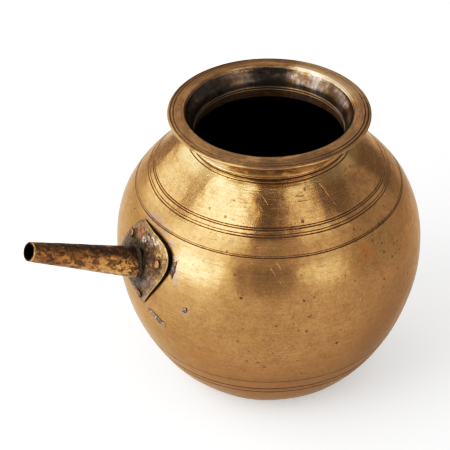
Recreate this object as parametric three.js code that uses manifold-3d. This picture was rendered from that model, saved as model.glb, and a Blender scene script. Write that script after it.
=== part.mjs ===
// Brass water pot with a riveted spout, in millimetres, +Z up.
// The origin is the centre of the flat base and the spout points along +X.
// Three brazed shells make the vessel: bowl, shoulder and neck collar.
// A dished plate, four rivets and soft solder hold the spout tube on the bowl.

import * as THREE from "three";
import { mergeVertices } from "three/addons/utils/BufferGeometryUtils.js";
import Module from "manifold-3d";

const wasm = await Module();
wasm.setup();

// Vessel: outer form
const BASE_RADIUS = 35.2;
const BELLY_RADIUS = 85.2;
const BELLY_HEIGHT = 84.3;
const NECK_RADIUS = 43.1;
const NECK_HEIGHT = 152.6;
const BASE_CORNER = 20.4; // how far out the low curve runs before it turns up
const BASE_RISE = 0.7; // and how much it rises on that way
const BELLY_BELOW = 42.2; // fullness of the curve below the widest ring
const BELLY_ABOVE = 36.8; // fullness of the curve above the widest ring
const SHOULDER_OUT = 23.6; // the shoulder leaves the neck along this slope: out
const SHOULDER_DOWN = 20.6; // and down

// Vessel: wall, brazed laps and turned lines
const WALL = 2;
const BRAZE_GAP = 0.3;
const SHOULDER_SEAM_HEIGHT = 123.7;
const SHOULDER_LAP = 7;
const NECK_LAP = 4;
const LINE_DEPTH = 0.35;
const LINE_HALF_WIDTH = 0.42;
const BOWL_LINES = [27.6, 32.6, 41];
const SHOULDER_LINES = [131.8, 132.8, 134.6, 135.5];

// Neck collar and lip
const THROAT_RADIUS = 41;
const LIP_RADIUS = 55.3;
const COLLAR_HEIGHT = 16.7; // from the neck's foot to the top of the lip
const LIP_HEIGHT = NECK_HEIGHT + COLLAR_HEIGHT;
const LIP_EDGE = 1.5; // thickness of the lip at its outer edge
const LIP_DROP = 1.3; // the lip's top falls this much from its land to its edge
const LIP_LAND_INNER = 46.6;
const LIP_LAND_WIDTH = 2;
const LIP_LINES = [51.6, 53.5];
const LIP_ROUND = 0.7; // rounding of the land's inner edge
const THROAT_IN = 1.9; // the throat leaves the lip along this slope: in
const THROAT_DOWN = 4.4; // and down
const THROAT_STRAIGHT = 5; // and ends upright over this height
const RIDGE_ABOVE_NECK = 4.4;
const RIDGE_HALF_HEIGHT = 1;
const THROAT_RIDGE = 0.4;
const THROAT_RIDGE_HEIGHT = NECK_HEIGHT + RIDGE_ABOVE_NECK;
const NECK_BEAD = 0.5;
const NECK_BEAD_HEIGHT = 1.6;
const FLARE_RISE = 7.4; // the flare leaves the neck upright over this height
const FLARE_IN = 5.3; // and meets the lip along this slope: in
const FLARE_DOWN = 1.8; // and down
const LIP_UNDERCUT = 0.9; // the flare meets the lip this far inside its edge

// Spout tube
const SPOUT_HEIGHT = 99;
const SPOUT_TILT = 26.5; // degrees above the horizontal
const SPOUT_LENGTH = 70;
const SPOUT_FOOT_RADIUS = 8.7;
const SPOUT_TIP_RADIUS = 5.3;
const SPOUT_WALL = 1.1;
const SPOUT_INSERT = 8; // length of tube inside the outer face of the wall
const SPOUT_CLEARANCE = 0.3;

// Spout plate: a lozenge with two sharp corners and two round ones. Places are [across, up]:
// the arc from the spout's line, and the height above the spout. The edge runs anticlockwise
// and leaves each corner along "after", having come in along "before".
const NOSE_AT = [26, 9.5];
const NOSE_BEFORE = [0, -7];
const NOSE_AFTER = [0, 9.5];
const TOP_AT = [-4.7, 22.6];
const TOP_BEFORE = [22, -0.6];
const TOP_AFTER = [-6, -4.3];
const TAIL_AT = [-20.5, -4];
const TAIL_BEFORE = [2.3, 9];
const TAIL_AFTER = [-1.1, -4.4];
const BOTTOM_AT = [7.9, -22.4];
const BOTTOM_BEFORE = [-8.8, 6.6];
const BOTTOM_AFTER = [7.1, 9.8];
const PLATE_CORNERS = [
  { at: NOSE_AT, before: NOSE_BEFORE, after: NOSE_AFTER },
  { at: TOP_AT, before: TOP_BEFORE, after: TOP_AFTER },
  { at: TAIL_AT, before: TAIL_BEFORE, after: TAIL_AFTER },
  { at: BOTTOM_AT, before: BOTTOM_BEFORE, after: BOTTOM_AFTER },
];
const PLATE_THICKNESS = 1.1;
const PLATE_GAP = 0.35;
const PLATE_DISH = 1; // the plate rises this much towards the tube
const PLATE_DISH_RADIUS = 18;
const PLATE_LIFT = 1.8; // the right half has sprung off the wall
const PLATE_LIFT_WIDTH = 14; // the lift grows over this distance from the sharp corners' line

// Rivets, as places on the plate
const RIVET_RIGHT = [19.4, 9.6];
const RIVET_TOP = [-9.2, 12.6];
const RIVET_LEFT = [-16, -4.2];
const RIVET_BOTTOM = [6, -16.4];
const RIVETS = {
  rivet_right: RIVET_RIGHT,
  rivet_top: RIVET_TOP,
  rivet_left: RIVET_LEFT,
  rivet_bottom: RIVET_BOTTOM,
};
const RIVET_RADIUS = 1.4;
const RIVET_HEAD_RADIUS = 2.6;
const RIVET_HEAD_HEIGHT = 1.2;
const RIVET_CLEARANCE = 0.3;

// Solder: a fillet round the tube, and lumps given by place, half sizes, height and lean
const SOLDER_GAP = 0.3;
const SOLDER_EDGE = 0.2; // thickness of a lump at its edge
const FILLET_REACH = 2.2;
const FILLET_RISE = 1.8;
const PLATE_SOLDER = { across: 8.4, up: 17.4, halfWidth: 4.4, halfHeight: 2.1, height: 0.9, lean: -6 };
const EDGE_SOLDER = { across: 28.1, up: 9.8, halfWidth: 1.5, halfHeight: 6, height: 0.9, lean: 4 };
const SOLDER_RUN = { across: 18.6, up: -27, halfWidth: 8, halfHeight: 2.4, height: 0.7, lean: -19 };
const SOLDER_SPOT = { across: 39.4, up: -11, halfWidth: 2, halfHeight: 1.7, height: 0.5, lean: 20 };

// Facets
const WALL_SPACING = 7;
const VESSEL_STEPS = 64;
const TUBE_STEPS = 28;
const RIVET_STEPS = 16;

const BRASS = material(0xb08a4a, 0.38, 1);
const DARK_BRASS = material(0x7a5426, 0.5, 1);
const COPPER_BRASS = material(0x94653a, 0.45, 1);
const SOLDER = material(0x8a8783, 0.55, 1);

function material(color, roughness, metalness) {
  return new THREE.MeshStandardMaterial({ color, roughness, metalness });
}

// Outer wall of the vessel, as radius against height

const lowerCurve = new THREE.CubicBezierCurve(
  new THREE.Vector2(BASE_RADIUS, 0),
  new THREE.Vector2(BASE_RADIUS + BASE_CORNER, BASE_RISE),
  new THREE.Vector2(BELLY_RADIUS, BELLY_HEIGHT - BELLY_BELOW),
  new THREE.Vector2(BELLY_RADIUS, BELLY_HEIGHT),
);
const upperCurve = new THREE.CubicBezierCurve(
  new THREE.Vector2(BELLY_RADIUS, BELLY_HEIGHT),
  new THREE.Vector2(BELLY_RADIUS, BELLY_HEIGHT + BELLY_ABOVE),
  new THREE.Vector2(NECK_RADIUS + SHOULDER_OUT, NECK_HEIGHT - SHOULDER_DOWN),
  new THREE.Vector2(NECK_RADIUS, NECK_HEIGHT),
);

// Place along both curves at a height: 0 at the base, 1 at the belly, 2 at the neck.
function placeAt(height) {
  let low = 0;
  let high = 2;
  for (let step = 0; step < 40; step++) {
    const middle = (low + high) / 2;
    if (wallAt(middle).point.y < height) low = middle;
    else high = middle;
  }
  return (low + high) / 2;
}

// The outer point at a place, with the unit normal that points out of the metal.
function wallAt(place) {
  const curve = place < 1 ? lowerCurve : upperCurve;
  const t = place < 1 ? place : place - 1;
  const tangent = curve.getTangent(t);
  return { point: curve.getPoint(t), normal: new THREE.Vector2(tangent.y, -tangent.x) };
}

function outerWall(height) {
  return wallAt(placeAt(height));
}

function wallPoint(height, depth) {
  const { point, normal } = outerWall(height);
  return point.addScaledVector(normal, -depth);
}

// Points along the wall at one depth, from one height to another.
function wallRun(from, to, depth, spacing = WALL_SPACING) {
  const start = placeAt(from);
  const end = placeAt(to);
  const steps = Math.max(1, Math.round(wallAt(start).point.distanceTo(wallAt(end).point) / spacing));
  const points = [];
  for (let i = 0; i <= steps; i++) {
    const { point, normal } = wallAt(start + ((end - start) * i) / steps);
    points.push(point.addScaledVector(normal, -depth));
  }
  return points;
}

// The outer face between two heights, with a V-shaped turned line at each height given.
function linedRun(from, to, lines) {
  const points = [];
  let start = from;
  for (const line of lines) {
    points.push(...wallRun(start, line - LINE_HALF_WIDTH, 0));
    points.push(wallPoint(line, LINE_DEPTH));
    start = line + LINE_HALF_WIDTH;
  }
  points.push(...wallRun(start, to, 0));
  return points;
}

// Solids

// A closed outline of radius and height, turned round the Z axis with its faces out.
function turned(outline, steps) {
  const closed = [...outline, outline[0].clone()];
  if (THREE.ShapeUtils.area(outline) < 0) closed.reverse();
  return new THREE.LatheGeometry(closed, steps).rotateX(Math.PI / 2);
}

function solidOf(geometry) {
  const bare = geometry.clone();
  bare.deleteAttribute("normal");
  bare.deleteAttribute("uv");
  const merged = mergeVertices(bare, 1e-4);
  return new wasm.Manifold(
    new wasm.Mesh({
      numProp: 3,
      vertProperties: merged.attributes.position.array,
      triVerts: new Uint32Array(merged.index.array),
    }),
  );
}

function geometryOf(solid) {
  const mesh = solid.getMesh();
  const geometry = new THREE.BufferGeometry();
  geometry.setAttribute("position", new THREE.BufferAttribute(mesh.vertProperties, 3));
  geometry.setIndex(new THREE.BufferAttribute(mesh.triVerts, 1));
  const flat = geometry.toNonIndexed();
  flat.computeVertexNormals();
  return flat;
}

function cut(geometry, tools) {
  let solid = solidOf(geometry);
  for (const tool of tools) solid = solid.subtract(solidOf(tool));
  return geometryOf(solid);
}

// A round cutter along a direction, from one distance to another.
function drill(origin, direction, from, to, radiusFrom, radiusTo = radiusFrom) {
  const cutter = new THREE.CylinderGeometry(radiusTo, radiusFrom, to - from, TUBE_STEPS);
  cutter.translate(0, (from + to) / 2, 0);
  const turn = new THREE.Quaternion().setFromUnitVectors(new THREE.Vector3(0, 1, 0), direction);
  cutter.applyQuaternion(turn);
  return cutter.translate(origin.x, origin.y, origin.z);
}

// Places on the bowl round the spout

// The outer face at an arc across from the spout's line and a height above the spout.
function seat(across, up) {
  const { point, normal } = outerWall(SPOUT_HEIGHT + up);
  const angle = across / point.x;
  return {
    point: new THREE.Vector3(point.x * Math.cos(angle), point.x * Math.sin(angle), point.y),
    normal: new THREE.Vector3(normal.x * Math.cos(angle), normal.x * Math.sin(angle), normal.y),
  };
}

function above(across, up, height) {
  const { point, normal } = seat(across, up);
  return point.addScaledVector(normal, height);
}

function smooth(value) {
  const x = Math.min(1, Math.max(0, value));
  return x * x * (3 - 2 * x);
}

const [, plateTopCorner, , plateBottomCorner] = PLATE_CORNERS.map(({ at }) => new THREE.Vector2(...at));
const acrossPlate = plateTopCorner.clone().sub(plateBottomCorner).normalize();
acrossPlate.rotateAround(new THREE.Vector2(), -Math.PI / 2);

// Height of the plate's under face off the bowl.
function plateUnder(across, up) {
  const dish = PLATE_DISH * smooth(1 - Math.hypot(across, up) / PLATE_DISH_RADIUS);
  const right = new THREE.Vector2(across, up).sub(plateTopCorner).dot(acrossPlate);
  return PLATE_GAP + dish + PLATE_LIFT * smooth(right / PLATE_LIFT_WIDTH);
}

function plateTop(across, up) {
  return plateUnder(across, up) + PLATE_THICKNESS;
}

// The plate's edge: four corners joined by bowed sides.
function plateOutline(stepsPerSide) {
  const outline = [];
  PLATE_CORNERS.forEach((corner, i) => {
    const next = PLATE_CORNERS[(i + 1) % PLATE_CORNERS.length];
    const from = new THREE.Vector2(...corner.at);
    const to = new THREE.Vector2(...next.at);
    const leave = from.clone().add(new THREE.Vector2(...corner.after));
    const arrive = to.clone().add(new THREE.Vector2(...next.before));
    const side = new THREE.CubicBezierCurve(from, leave, arrive, to);
    for (let step = 0; step < stepsPerSide; step++) outline.push(side.getPoint(step / stepsPerSide));
  });
  return outline;
}

function ovalOutline({ across, up, halfWidth, halfHeight, lean }, steps) {
  const tilt = THREE.MathUtils.degToRad(lean);
  const centre = new THREE.Vector2(across, up);
  const outline = [];
  for (let step = 0; step < steps; step++) {
    const angle = (2 * Math.PI * step) / steps;
    const point = new THREE.Vector2(halfWidth * Math.cos(angle), halfHeight * Math.sin(angle));
    outline.push(point.rotateAround(new THREE.Vector2(), tilt).add(centre));
  }
  return outline;
}

// A solid sheet that follows the bowl inside an outline: rings from a centre out to the edge.
function sheetOnBowl(centre, outline, rings, underHeight, topHeight) {
  const positions = [];
  const count = outline.length;
  for (const height of [underHeight, topHeight]) {
    positions.push(...above(centre.x, centre.y, height(centre.x, centre.y, 0)).toArray());
    for (let ring = 1; ring <= rings; ring++) {
      for (const edge of outline) {
        const place = centre.clone().lerp(edge, ring / rings);
        positions.push(...above(place.x, place.y, height(place.x, place.y, ring / rings)).toArray());
      }
    }
  }
  const layer = 1 + rings * count;
  const at = (top, ring, i) => top * layer + (ring === 0 ? 0 : 1 + (ring - 1) * count + (i % count));
  const index = [];
  for (let i = 0; i < count; i++) {
    index.push(at(1, 0, 0), at(1, 1, i), at(1, 1, i + 1));
    index.push(at(0, 0, 0), at(0, 1, i + 1), at(0, 1, i));
    for (let ring = 1; ring < rings; ring++) {
      const quad = (a, b, c, d) => index.push(a, b, c, a, c, d);
      quad(at(1, ring, i), at(1, ring + 1, i), at(1, ring + 1, i + 1), at(1, ring, i + 1));
      quad(at(0, ring, i + 1), at(0, ring + 1, i + 1), at(0, ring + 1, i), at(0, ring, i));
    }
    index.push(at(0, rings, i), at(0, rings, i + 1), at(1, rings, i + 1));
    index.push(at(0, rings, i), at(1, rings, i + 1), at(1, rings, i));
  }
  const geometry = new THREE.BufferGeometry();
  geometry.setAttribute("position", new THREE.Float32BufferAttribute(positions, 3));
  geometry.setIndex(index);
  return geometry;
}

// The spout's own frame: the foot lies on the bowl's outer face

const tilt = THREE.MathUtils.degToRad(SPOUT_TILT);
const spoutAxis = new THREE.Vector3(Math.cos(tilt), 0, Math.sin(tilt));
const spoutUp = new THREE.Vector3(-Math.sin(tilt), 0, Math.cos(tilt));
const spoutSide = new THREE.Vector3(0, 1, 0);
const spoutFoot = seat(0, 0).point;

function tubeRadius(along) {
  return SPOUT_FOOT_RADIUS + ((SPOUT_TIP_RADIUS - SPOUT_FOOT_RADIUS) * along) / SPOUT_LENGTH;
}

function spoutPlace(along, radius, angle) {
  return spoutFoot
    .clone()
    .addScaledVector(spoutAxis, along)
    .addScaledVector(spoutUp, radius * Math.cos(angle))
    .addScaledVector(spoutSide, radius * Math.sin(angle));
}

// How far a point lies above the plate's outer face.
function overPlate(place) {
  let wall = outerWall(place.z);
  let height = 0;
  for (let i = 0; i < 3; i++) {
    height = (Math.hypot(place.x, place.y) - wall.point.x) * wall.normal.x;
    height += (place.z - wall.point.y) * wall.normal.y;
    wall = outerWall(place.z - height * wall.normal.y);
  }
  const across = Math.atan2(place.y, place.x) * wall.point.x;
  return height - plateTop(across, wall.point.y - SPOUT_HEIGHT);
}

const holeReach = 3 * SPOUT_INSERT;
const spoutHole = drill(
  spoutFoot,
  spoutAxis,
  -holeReach,
  holeReach,
  tubeRadius(-holeReach) + SPOUT_CLEARANCE,
  tubeRadius(holeReach) + SPOUT_CLEARANCE,
);
const rivetHoles = Object.values(RIVETS).map(([across, up]) => {
  const { point, normal } = seat(across, up);
  return drill(point, normal, -3 * WALL, 3 * WALL, RIVET_RADIUS + RIVET_CLEARANCE);
});

// Pieces

// The raised lower vessel; its top edge is thinned on the inside to take the shoulder's lap.
function bowl() {
  const seam = SHOULDER_SEAM_HEIGHT;
  const lapDepth = (WALL - BRAZE_GAP) / 2;
  const inside = wallRun(seam - SHOULDER_LAP, WALL / 2, WALL).filter(({ y }) => y > 1.2 * WALL);
  const outline = [
    new THREE.Vector2(0, 0),
    ...linedRun(0, seam, BOWL_LINES),
    ...wallRun(seam, seam - SHOULDER_LAP, lapDepth, SHOULDER_LAP),
    ...inside,
    new THREE.Vector2(BASE_RADIUS, WALL),
    new THREE.Vector2(0, WALL),
  ];
  return cut(turned(outline, VESSEL_STEPS), [spoutHole, ...rivetHoles]);
}

// The upper vessel, from its lap inside the bowl to the neck.
function shoulder() {
  const seam = SHOULDER_SEAM_HEIGHT;
  const lapDepth = (WALL + BRAZE_GAP) / 2;
  const lapFoot = seam - SHOULDER_LAP + BRAZE_GAP;
  const neckLapDepth = (WALL - BRAZE_GAP) / 2;
  const outline = [
    ...linedRun(seam + BRAZE_GAP, NECK_HEIGHT - BRAZE_GAP, SHOULDER_LINES),
    ...wallRun(NECK_HEIGHT - BRAZE_GAP, NECK_HEIGHT - NECK_LAP, neckLapDepth),
    ...wallRun(NECK_HEIGHT - NECK_LAP, lapFoot, WALL),
    ...wallRun(lapFoot, seam + BRAZE_GAP, lapDepth),
  ];
  return turned(outline, VESSEL_STEPS);
}

// The neck and lip in one heavy ring, with a thin lap under the shoulder's edge.
function neckCollar() {
  const lapDepth = (WALL + BRAZE_GAP) / 2;
  const edgeTop = LIP_HEIGHT - LIP_DROP;
  const landOuter = LIP_LAND_INNER + LIP_LAND_WIDTH;
  const lipTop = (radius) => LIP_HEIGHT - (LIP_DROP * (radius - landOuter)) / (LIP_RADIUS - landOuter);
  const flare = new THREE.CubicBezierCurve(
    new THREE.Vector2(NECK_RADIUS + NECK_BEAD, NECK_HEIGHT + NECK_BEAD_HEIGHT),
    new THREE.Vector2(NECK_RADIUS + NECK_BEAD, NECK_HEIGHT + NECK_BEAD_HEIGHT + FLARE_RISE),
    new THREE.Vector2(LIP_RADIUS - LIP_UNDERCUT - FLARE_IN, edgeTop - LIP_EDGE - FLARE_DOWN),
    new THREE.Vector2(LIP_RADIUS - LIP_UNDERCUT, edgeTop - LIP_EDGE),
  );
  const throat = new THREE.CubicBezierCurve(
    new THREE.Vector2(LIP_LAND_INNER - LIP_ROUND, LIP_HEIGHT - LIP_ROUND),
    new THREE.Vector2(LIP_LAND_INNER - LIP_ROUND - THROAT_IN, LIP_HEIGHT - LIP_ROUND - THROAT_DOWN),
    new THREE.Vector2(THROAT_RADIUS, THROAT_RIDGE_HEIGHT + RIDGE_HALF_HEIGHT + THROAT_STRAIGHT),
    new THREE.Vector2(THROAT_RADIUS, THROAT_RIDGE_HEIGHT + RIDGE_HALF_HEIGHT),
  );
  const lines = LIP_LINES.flatMap((radius) => [
    new THREE.Vector2(radius + LINE_HALF_WIDTH, lipTop(radius + LINE_HALF_WIDTH)),
    new THREE.Vector2(radius, lipTop(radius) - LINE_DEPTH),
    new THREE.Vector2(radius - LINE_HALF_WIDTH, lipTop(radius - LINE_HALF_WIDTH)),
  ]);
  const outline = [
    wallPoint(NECK_HEIGHT, 0),
    new THREE.Vector2(NECK_RADIUS + NECK_BEAD * 0.2, NECK_HEIGHT + NECK_BEAD_HEIGHT / 3),
    new THREE.Vector2(NECK_RADIUS - NECK_BEAD * 0.4, NECK_HEIGHT + NECK_BEAD_HEIGHT * 0.7),
    ...flare.getPoints(6),
    new THREE.Vector2(LIP_RADIUS, edgeTop - LIP_EDGE * 0.6),
    new THREE.Vector2(LIP_RADIUS, edgeTop - LIP_EDGE * 0.2),
    ...lines.reverse().sort((a, b) => b.x - a.x),
    new THREE.Vector2(landOuter, LIP_HEIGHT),
    new THREE.Vector2(LIP_LAND_INNER, LIP_HEIGHT),
    ...throat.getPoints(5),
    new THREE.Vector2(THROAT_RADIUS - THROAT_RIDGE, THROAT_RIDGE_HEIGHT),
    new THREE.Vector2(THROAT_RADIUS, THROAT_RIDGE_HEIGHT - RIDGE_HALF_HEIGHT),
    new THREE.Vector2(THROAT_RADIUS, NECK_HEIGHT - WALL / 2),
    ...wallRun(NECK_HEIGHT - NECK_LAP + BRAZE_GAP, NECK_HEIGHT, lapDepth),
  ];
  return turned(outline, VESSEL_STEPS);
}

// A tapered tube that runs from inside the bowl to the open mouth.
function spoutTube() {
  const foot = -SPOUT_INSERT;
  const stations = [foot, 0, SPOUT_LENGTH * 0.33, SPOUT_LENGTH * 0.66, SPOUT_LENGTH];
  const outside = stations.map((along) => new THREE.Vector2(tubeRadius(along), along));
  const inside = stations.map((along) => new THREE.Vector2(tubeRadius(along) - SPOUT_WALL, along));
  const tube = turned([...outside, ...inside.reverse()], TUBE_STEPS);
  const turn = new THREE.Quaternion().setFromUnitVectors(new THREE.Vector3(0, 0, 1), spoutAxis);
  return tube.applyQuaternion(turn).translate(spoutFoot.x, spoutFoot.y, spoutFoot.z);
}

function spoutPlate() {
  const sheet = sheetOnBowl(new THREE.Vector2(0, 0), plateOutline(10), 5, plateUnder, plateTop);
  return cut(sheet, [spoutHole, ...rivetHoles]);
}

// One rivet: domed head on the plate, shank through plate and wall, peened tail inside.
function rivet([across, up]) {
  const { point, normal } = seat(across, up);
  const headFoot = plateTop(across, up) + RIVET_CLEARANCE;
  const tailTop = -WALL - RIVET_CLEARANCE;
  const dome = (height, side) =>
    [1, 0.92, 0.7, 0.38].map(
      (share, i) => new THREE.Vector2(RIVET_HEAD_RADIUS * share, height + side * (RIVET_HEAD_HEIGHT * i) / 3.4),
    );
  const outline = [
    new THREE.Vector2(0, tailTop - RIVET_HEAD_HEIGHT),
    ...dome(tailTop, -1).reverse(),
    new THREE.Vector2(RIVET_RADIUS, tailTop),
    new THREE.Vector2(RIVET_RADIUS, headFoot),
    ...dome(headFoot, 1),
    new THREE.Vector2(0, headFoot + RIVET_HEAD_HEIGHT),
  ];
  const turn = new THREE.Quaternion().setFromUnitVectors(new THREE.Vector3(0, 0, 1), normal);
  return turned(outline, RIVET_STEPS).applyQuaternion(turn).translate(point.x, point.y, point.z);
}

// How far along the tube a line parallel to it comes clear of the plate.
function alongOnPlate(radius, angle) {
  let low = -SPOUT_INSERT;
  let high = 3 * SPOUT_INSERT;
  for (let i = 0; i < 30; i++) {
    const middle = (low + high) / 2;
    if (overPlate(spoutPlace(middle, radius, angle)) < SOLDER_GAP) low = middle;
    else high = middle;
  }
  return high;
}

// The fillet of solder in the angle between the tube and the plate.
function spoutSolder() {
  const positions = [];
  const index = [];
  for (let step = 0; step < TUBE_STEPS; step++) {
    const angle = (2 * Math.PI * step) / TUBE_STEPS;
    const inner = tubeRadius(0) + SPOUT_CLEARANCE;
    const outer = inner + FILLET_REACH;
    const heel = alongOnPlate(inner, angle);
    const ring = [
      spoutPlace(heel, inner, angle),
      spoutPlace(alongOnPlate(outer, angle), outer, angle),
      spoutPlace(heel + FILLET_RISE * 0.45, inner + FILLET_REACH * 0.3, angle),
      spoutPlace(heel + FILLET_RISE, inner, angle),
    ];
    ring.forEach((place) => positions.push(...place.toArray()));
    const sides = ring.length;
    const a = step * sides;
    const b = ((step + 1) % TUBE_STEPS) * sides;
    for (let side = 0; side < sides; side++) {
      const next = (side + 1) % sides;
      index.push(a + side, a + next, b + next, a + side, b + next, b + side);
    }
  }
  const geometry = new THREE.BufferGeometry();
  geometry.setAttribute("position", new THREE.Float32BufferAttribute(positions, 3));
  geometry.setIndex(index);
  return geometry;
}

// A low lump of solder on the bowl, or on a face that stands off it.
function solderLump(lump, face = () => 0) {
  const under = (across, up) => face(across, up) + SOLDER_GAP;
  const dome = (across, up, share) => under(across, up) + SOLDER_EDGE + lump.height * (1 - share * share);
  const centre = new THREE.Vector2(lump.across, lump.up);
  return sheetOnBowl(centre, ovalOutline(lump, 14), 3, under, dome);
}

// Assembly

const pot = new THREE.Group();

function add(name, geometry, finish) {
  const mesh = new THREE.Mesh(geometry, finish);
  mesh.name = name;
  pot.add(mesh);
}

add("bowl", bowl(), BRASS);
add("shoulder", shoulder(), BRASS);
add("neck_collar", neckCollar(), BRASS);
add("spout_tube", spoutTube(), DARK_BRASS);
add("spout_plate", spoutPlate(), COPPER_BRASS);
for (const [name, place] of Object.entries(RIVETS)) add(name, rivet(place), COPPER_BRASS);
add("spout_solder", spoutSolder(), SOLDER);
add("plate_solder", solderLump(PLATE_SOLDER, plateTop), SOLDER);
add("edge_solder", solderLump(EDGE_SOLDER), SOLDER);
add("solder_run", solderLump(SOLDER_RUN), SOLDER);
add("solder_spot", solderLump(SOLDER_SPOT), SOLDER);

export default pot;
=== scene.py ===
# Brass water pot with a riveted spout: the looks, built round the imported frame.
# Sizes are in millimetres, +Z up, the spout along +X, and become metres when a mesh is made.

import math
from functools import reduce
from types import SimpleNamespace

import bpy
import numpy as np
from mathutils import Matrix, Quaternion, Vector


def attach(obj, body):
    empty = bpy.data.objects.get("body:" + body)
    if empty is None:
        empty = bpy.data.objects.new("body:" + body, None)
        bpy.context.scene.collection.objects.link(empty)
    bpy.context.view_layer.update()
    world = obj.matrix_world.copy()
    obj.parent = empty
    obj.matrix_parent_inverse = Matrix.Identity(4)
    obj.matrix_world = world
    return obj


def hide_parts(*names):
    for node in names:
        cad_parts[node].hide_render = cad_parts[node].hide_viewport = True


MM = 0.001

# Vessel: outer form, as in the CAD source
BASE_RADIUS = 35.2
BELLY_RADIUS = 85.2
BELLY_HEIGHT = 84.3
NECK_RADIUS = 43.1
NECK_HEIGHT = 152.6
BASE_CORNER = 20.4
BASE_RISE = 0.7
BELLY_BELOW = 42.2
BELLY_ABOVE = 36.8
SHOULDER_OUT = 23.6
SHOULDER_DOWN = 20.6
MERIDIAN_STEPS = 3000

# Vessel: wall, seams and laps
WALL = 2
SEAM_GAP = 0.3
SEAM_SHOWN = 0.08
SEAM_DEPTH = 0.12
SEAM_EDGE = 0.22
SEAM_RINGS = np.array([0.08, 0.16, 0.24, 0.32, 0.44, 0.6])
SHOULDER_SEAM_HEIGHT = 123.7
SHOULDER_LAP = 7
NECK_LAP = 4

# Vessel: distances between rings, and the rings of its base and floor
VESSEL_STEPS = 400
RING_SPACING = 1.5
LAP_SPACING = 3
NECK_LAP_SPACING = 2
INSIDE_SPACING = 4
INSIDE_START = 4
INSIDE_LOWEST = 1.2 * WALL
FLOOR_RINGS = (BASE_RADIUS, 20, 0)
BASE_RINGS = (0, 12, 24, 33)

# Shallow dents: seed, longest and shortest wave, and depths
DENT_SEED = 5
DENT_WAVES = (120, 30)
DENT_DEPTH = 0.35
NECK_DENT_DEPTH = 0.12

# Turned lines: height, depth and half width
BOWL_LINES = [(28.3, 0.42, 0.48), (32.6, 0.42, 0.5), (41.0, 0.1, 0.26)]
SHOULDER_LINES = [
    (124.5, 0.14, 0.16),
    (131.9, 0.3, 0.22),
    (132.9, 0.22, 0.17),
    (134.6, 0.3, 0.22),
    (135.4, 0.3, 0.2),
    (151.3, 0.25, 0.2),
]
LINE_SPACING = 0.11
LINE_REACH = 4
LINE_DIRT = 0.8

# Neck collar and lip
THROAT_RADIUS = 41
LIP_RADIUS = 55.3
LIP_HEIGHT = 169.3
LIP_EDGE = 1.5
LIP_DROP = 1.3
LIP_LAND_INNER = 46.6
LIP_LAND_WIDTH = 2
LIP_LINES = [(51.8, 0.3, 0.22), (53.5, 0.35, 0.24)]
LIP_LINE_DIRT = 0.6
LIP_ROUND = 0.7
LIP_ROUND_IN = 0.25
LIP_ROUND_DOWN = 0.5
LIP_BULGE = 0.2
LIP_CREST = 0.12
THROAT_IN = 1.9
THROAT_DOWN = 4.4
THROAT_STRAIGHT = 5
RIDGE_HEIGHT = 157
RIDGE_HALF_HEIGHT = 1
RIDGE_DEPTH = 0.3
RIDGE_WIDTH = 0.2
RIDGE_LINES = (0.7, -0.7)
BORE_TOP = RIDGE_HEIGHT + 1.1
BORE_FOOT = NECK_HEIGHT - 1
NECK_BEAD = 0.5
NECK_BEAD_HEIGHT = 1.6
FLARE_RISE = 7.4
FLARE_IN = 5.3
FLARE_DOWN = 1.8
LIP_UNDERCUT = 0.9

# Oxide on the neck's runs, from 0 for the wall's brass to 1 for the dark throat
FLARE_OXIDE = 0.16
EDGE_OXIDE = 0.32
TOP_OXIDE = 0.35
ROUND_OXIDE = 0.4

# Spout tube
SPOUT_HEIGHT = 99
SPOUT_TILT = 26.5
SPOUT_LENGTH = 70
SPOUT_FOOT_RADIUS = 8.7
SPOUT_TIP_RADIUS = 5.3
SPOUT_WALL = 1.1
SPOUT_INSERT = 8
PIPE_STEPS = 96
PIPE_SEED = 21
PIPE_WAVES = (1, 2, 2, 3, 4, 5)
PIPE_WAVE_LENGTHS = (9, 50)
PIPE_UNEVEN = 0.12
MOUTH_ROUND = 0.5
MOUTH_THIN = 0.04
MOUTH_START = 0.15

# Spout plate: corners as arc across and height above the spout, with the ways in and out
PLATE_CORNERS = [
    ((26, 9.5), (0, -7), (0, 9.5)),
    ((-4.7, 22.6), (22, -0.6), (-6, -4.3)),
    ((-20.5, -4), (2.3, 9), (-1.1, -4.4)),
    ((7.9, -22.4), (-8.8, 6.6), (7.1, 9.8)),
]
PLATE_THICKNESS = 1.1
PLATE_GAP = 0.35
PLATE_DISH = 1
PLATE_DISH_RADIUS = 18
PLATE_LIFT = 1.8
PLATE_LIFT_WIDTH = 14
PLATE_SIDE_STEPS = 30
PLATE_RINGS = 40
PLATE_THINNED = 0.1
PLATE_WORN_EDGE = 0.35

# Unevenness of the plate's under face and top: depth, seed, longest and shortest wave
PLATE_WARP = (0.08, 11, 20, 6)
PLATE_HAMMER = (0.12, 12, 7, 2.2)

# Rivets: place across and up
RIVETS = {
    "right": (19.4, 9.6),
    "top": (-9.2, 12.6),
    "left": (-16, -4.2),
    "bottom": (6, -16.4),
}
RIVET_RADIUS = 1.4
RIVET_HEAD_RADIUS = 2.6
RIVET_HEAD_HEIGHT = 1.2
RIVET_HEAD_WORN = 0.75
RIVET_CLEARANCE = 0.3
RIVET_STEPS = 40
RIVET_SEED = 50
RIVET_WAVES = (2, 3, 4, 7)
RIVET_ROUGH = 0.12

# A rivet's dome, as shares of its radius and height
DOME = [(0.97, 0.0), (1, 0.3), (0.95, 0.62), (0.82, 0.86), (0.55, 0.97), (0.25, 0.98), (0.05, 0.98)]

# Solder fillet round the tube
FILLET_REACH = 2.2
FILLET_RISE = 1.8
FILLET_SINK = 0.25
FILLET_CURVE = 1.6
FILLET_SEED = 31
FILLET_WAVES = (1, 2, 3, 5, 8, 13)

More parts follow.
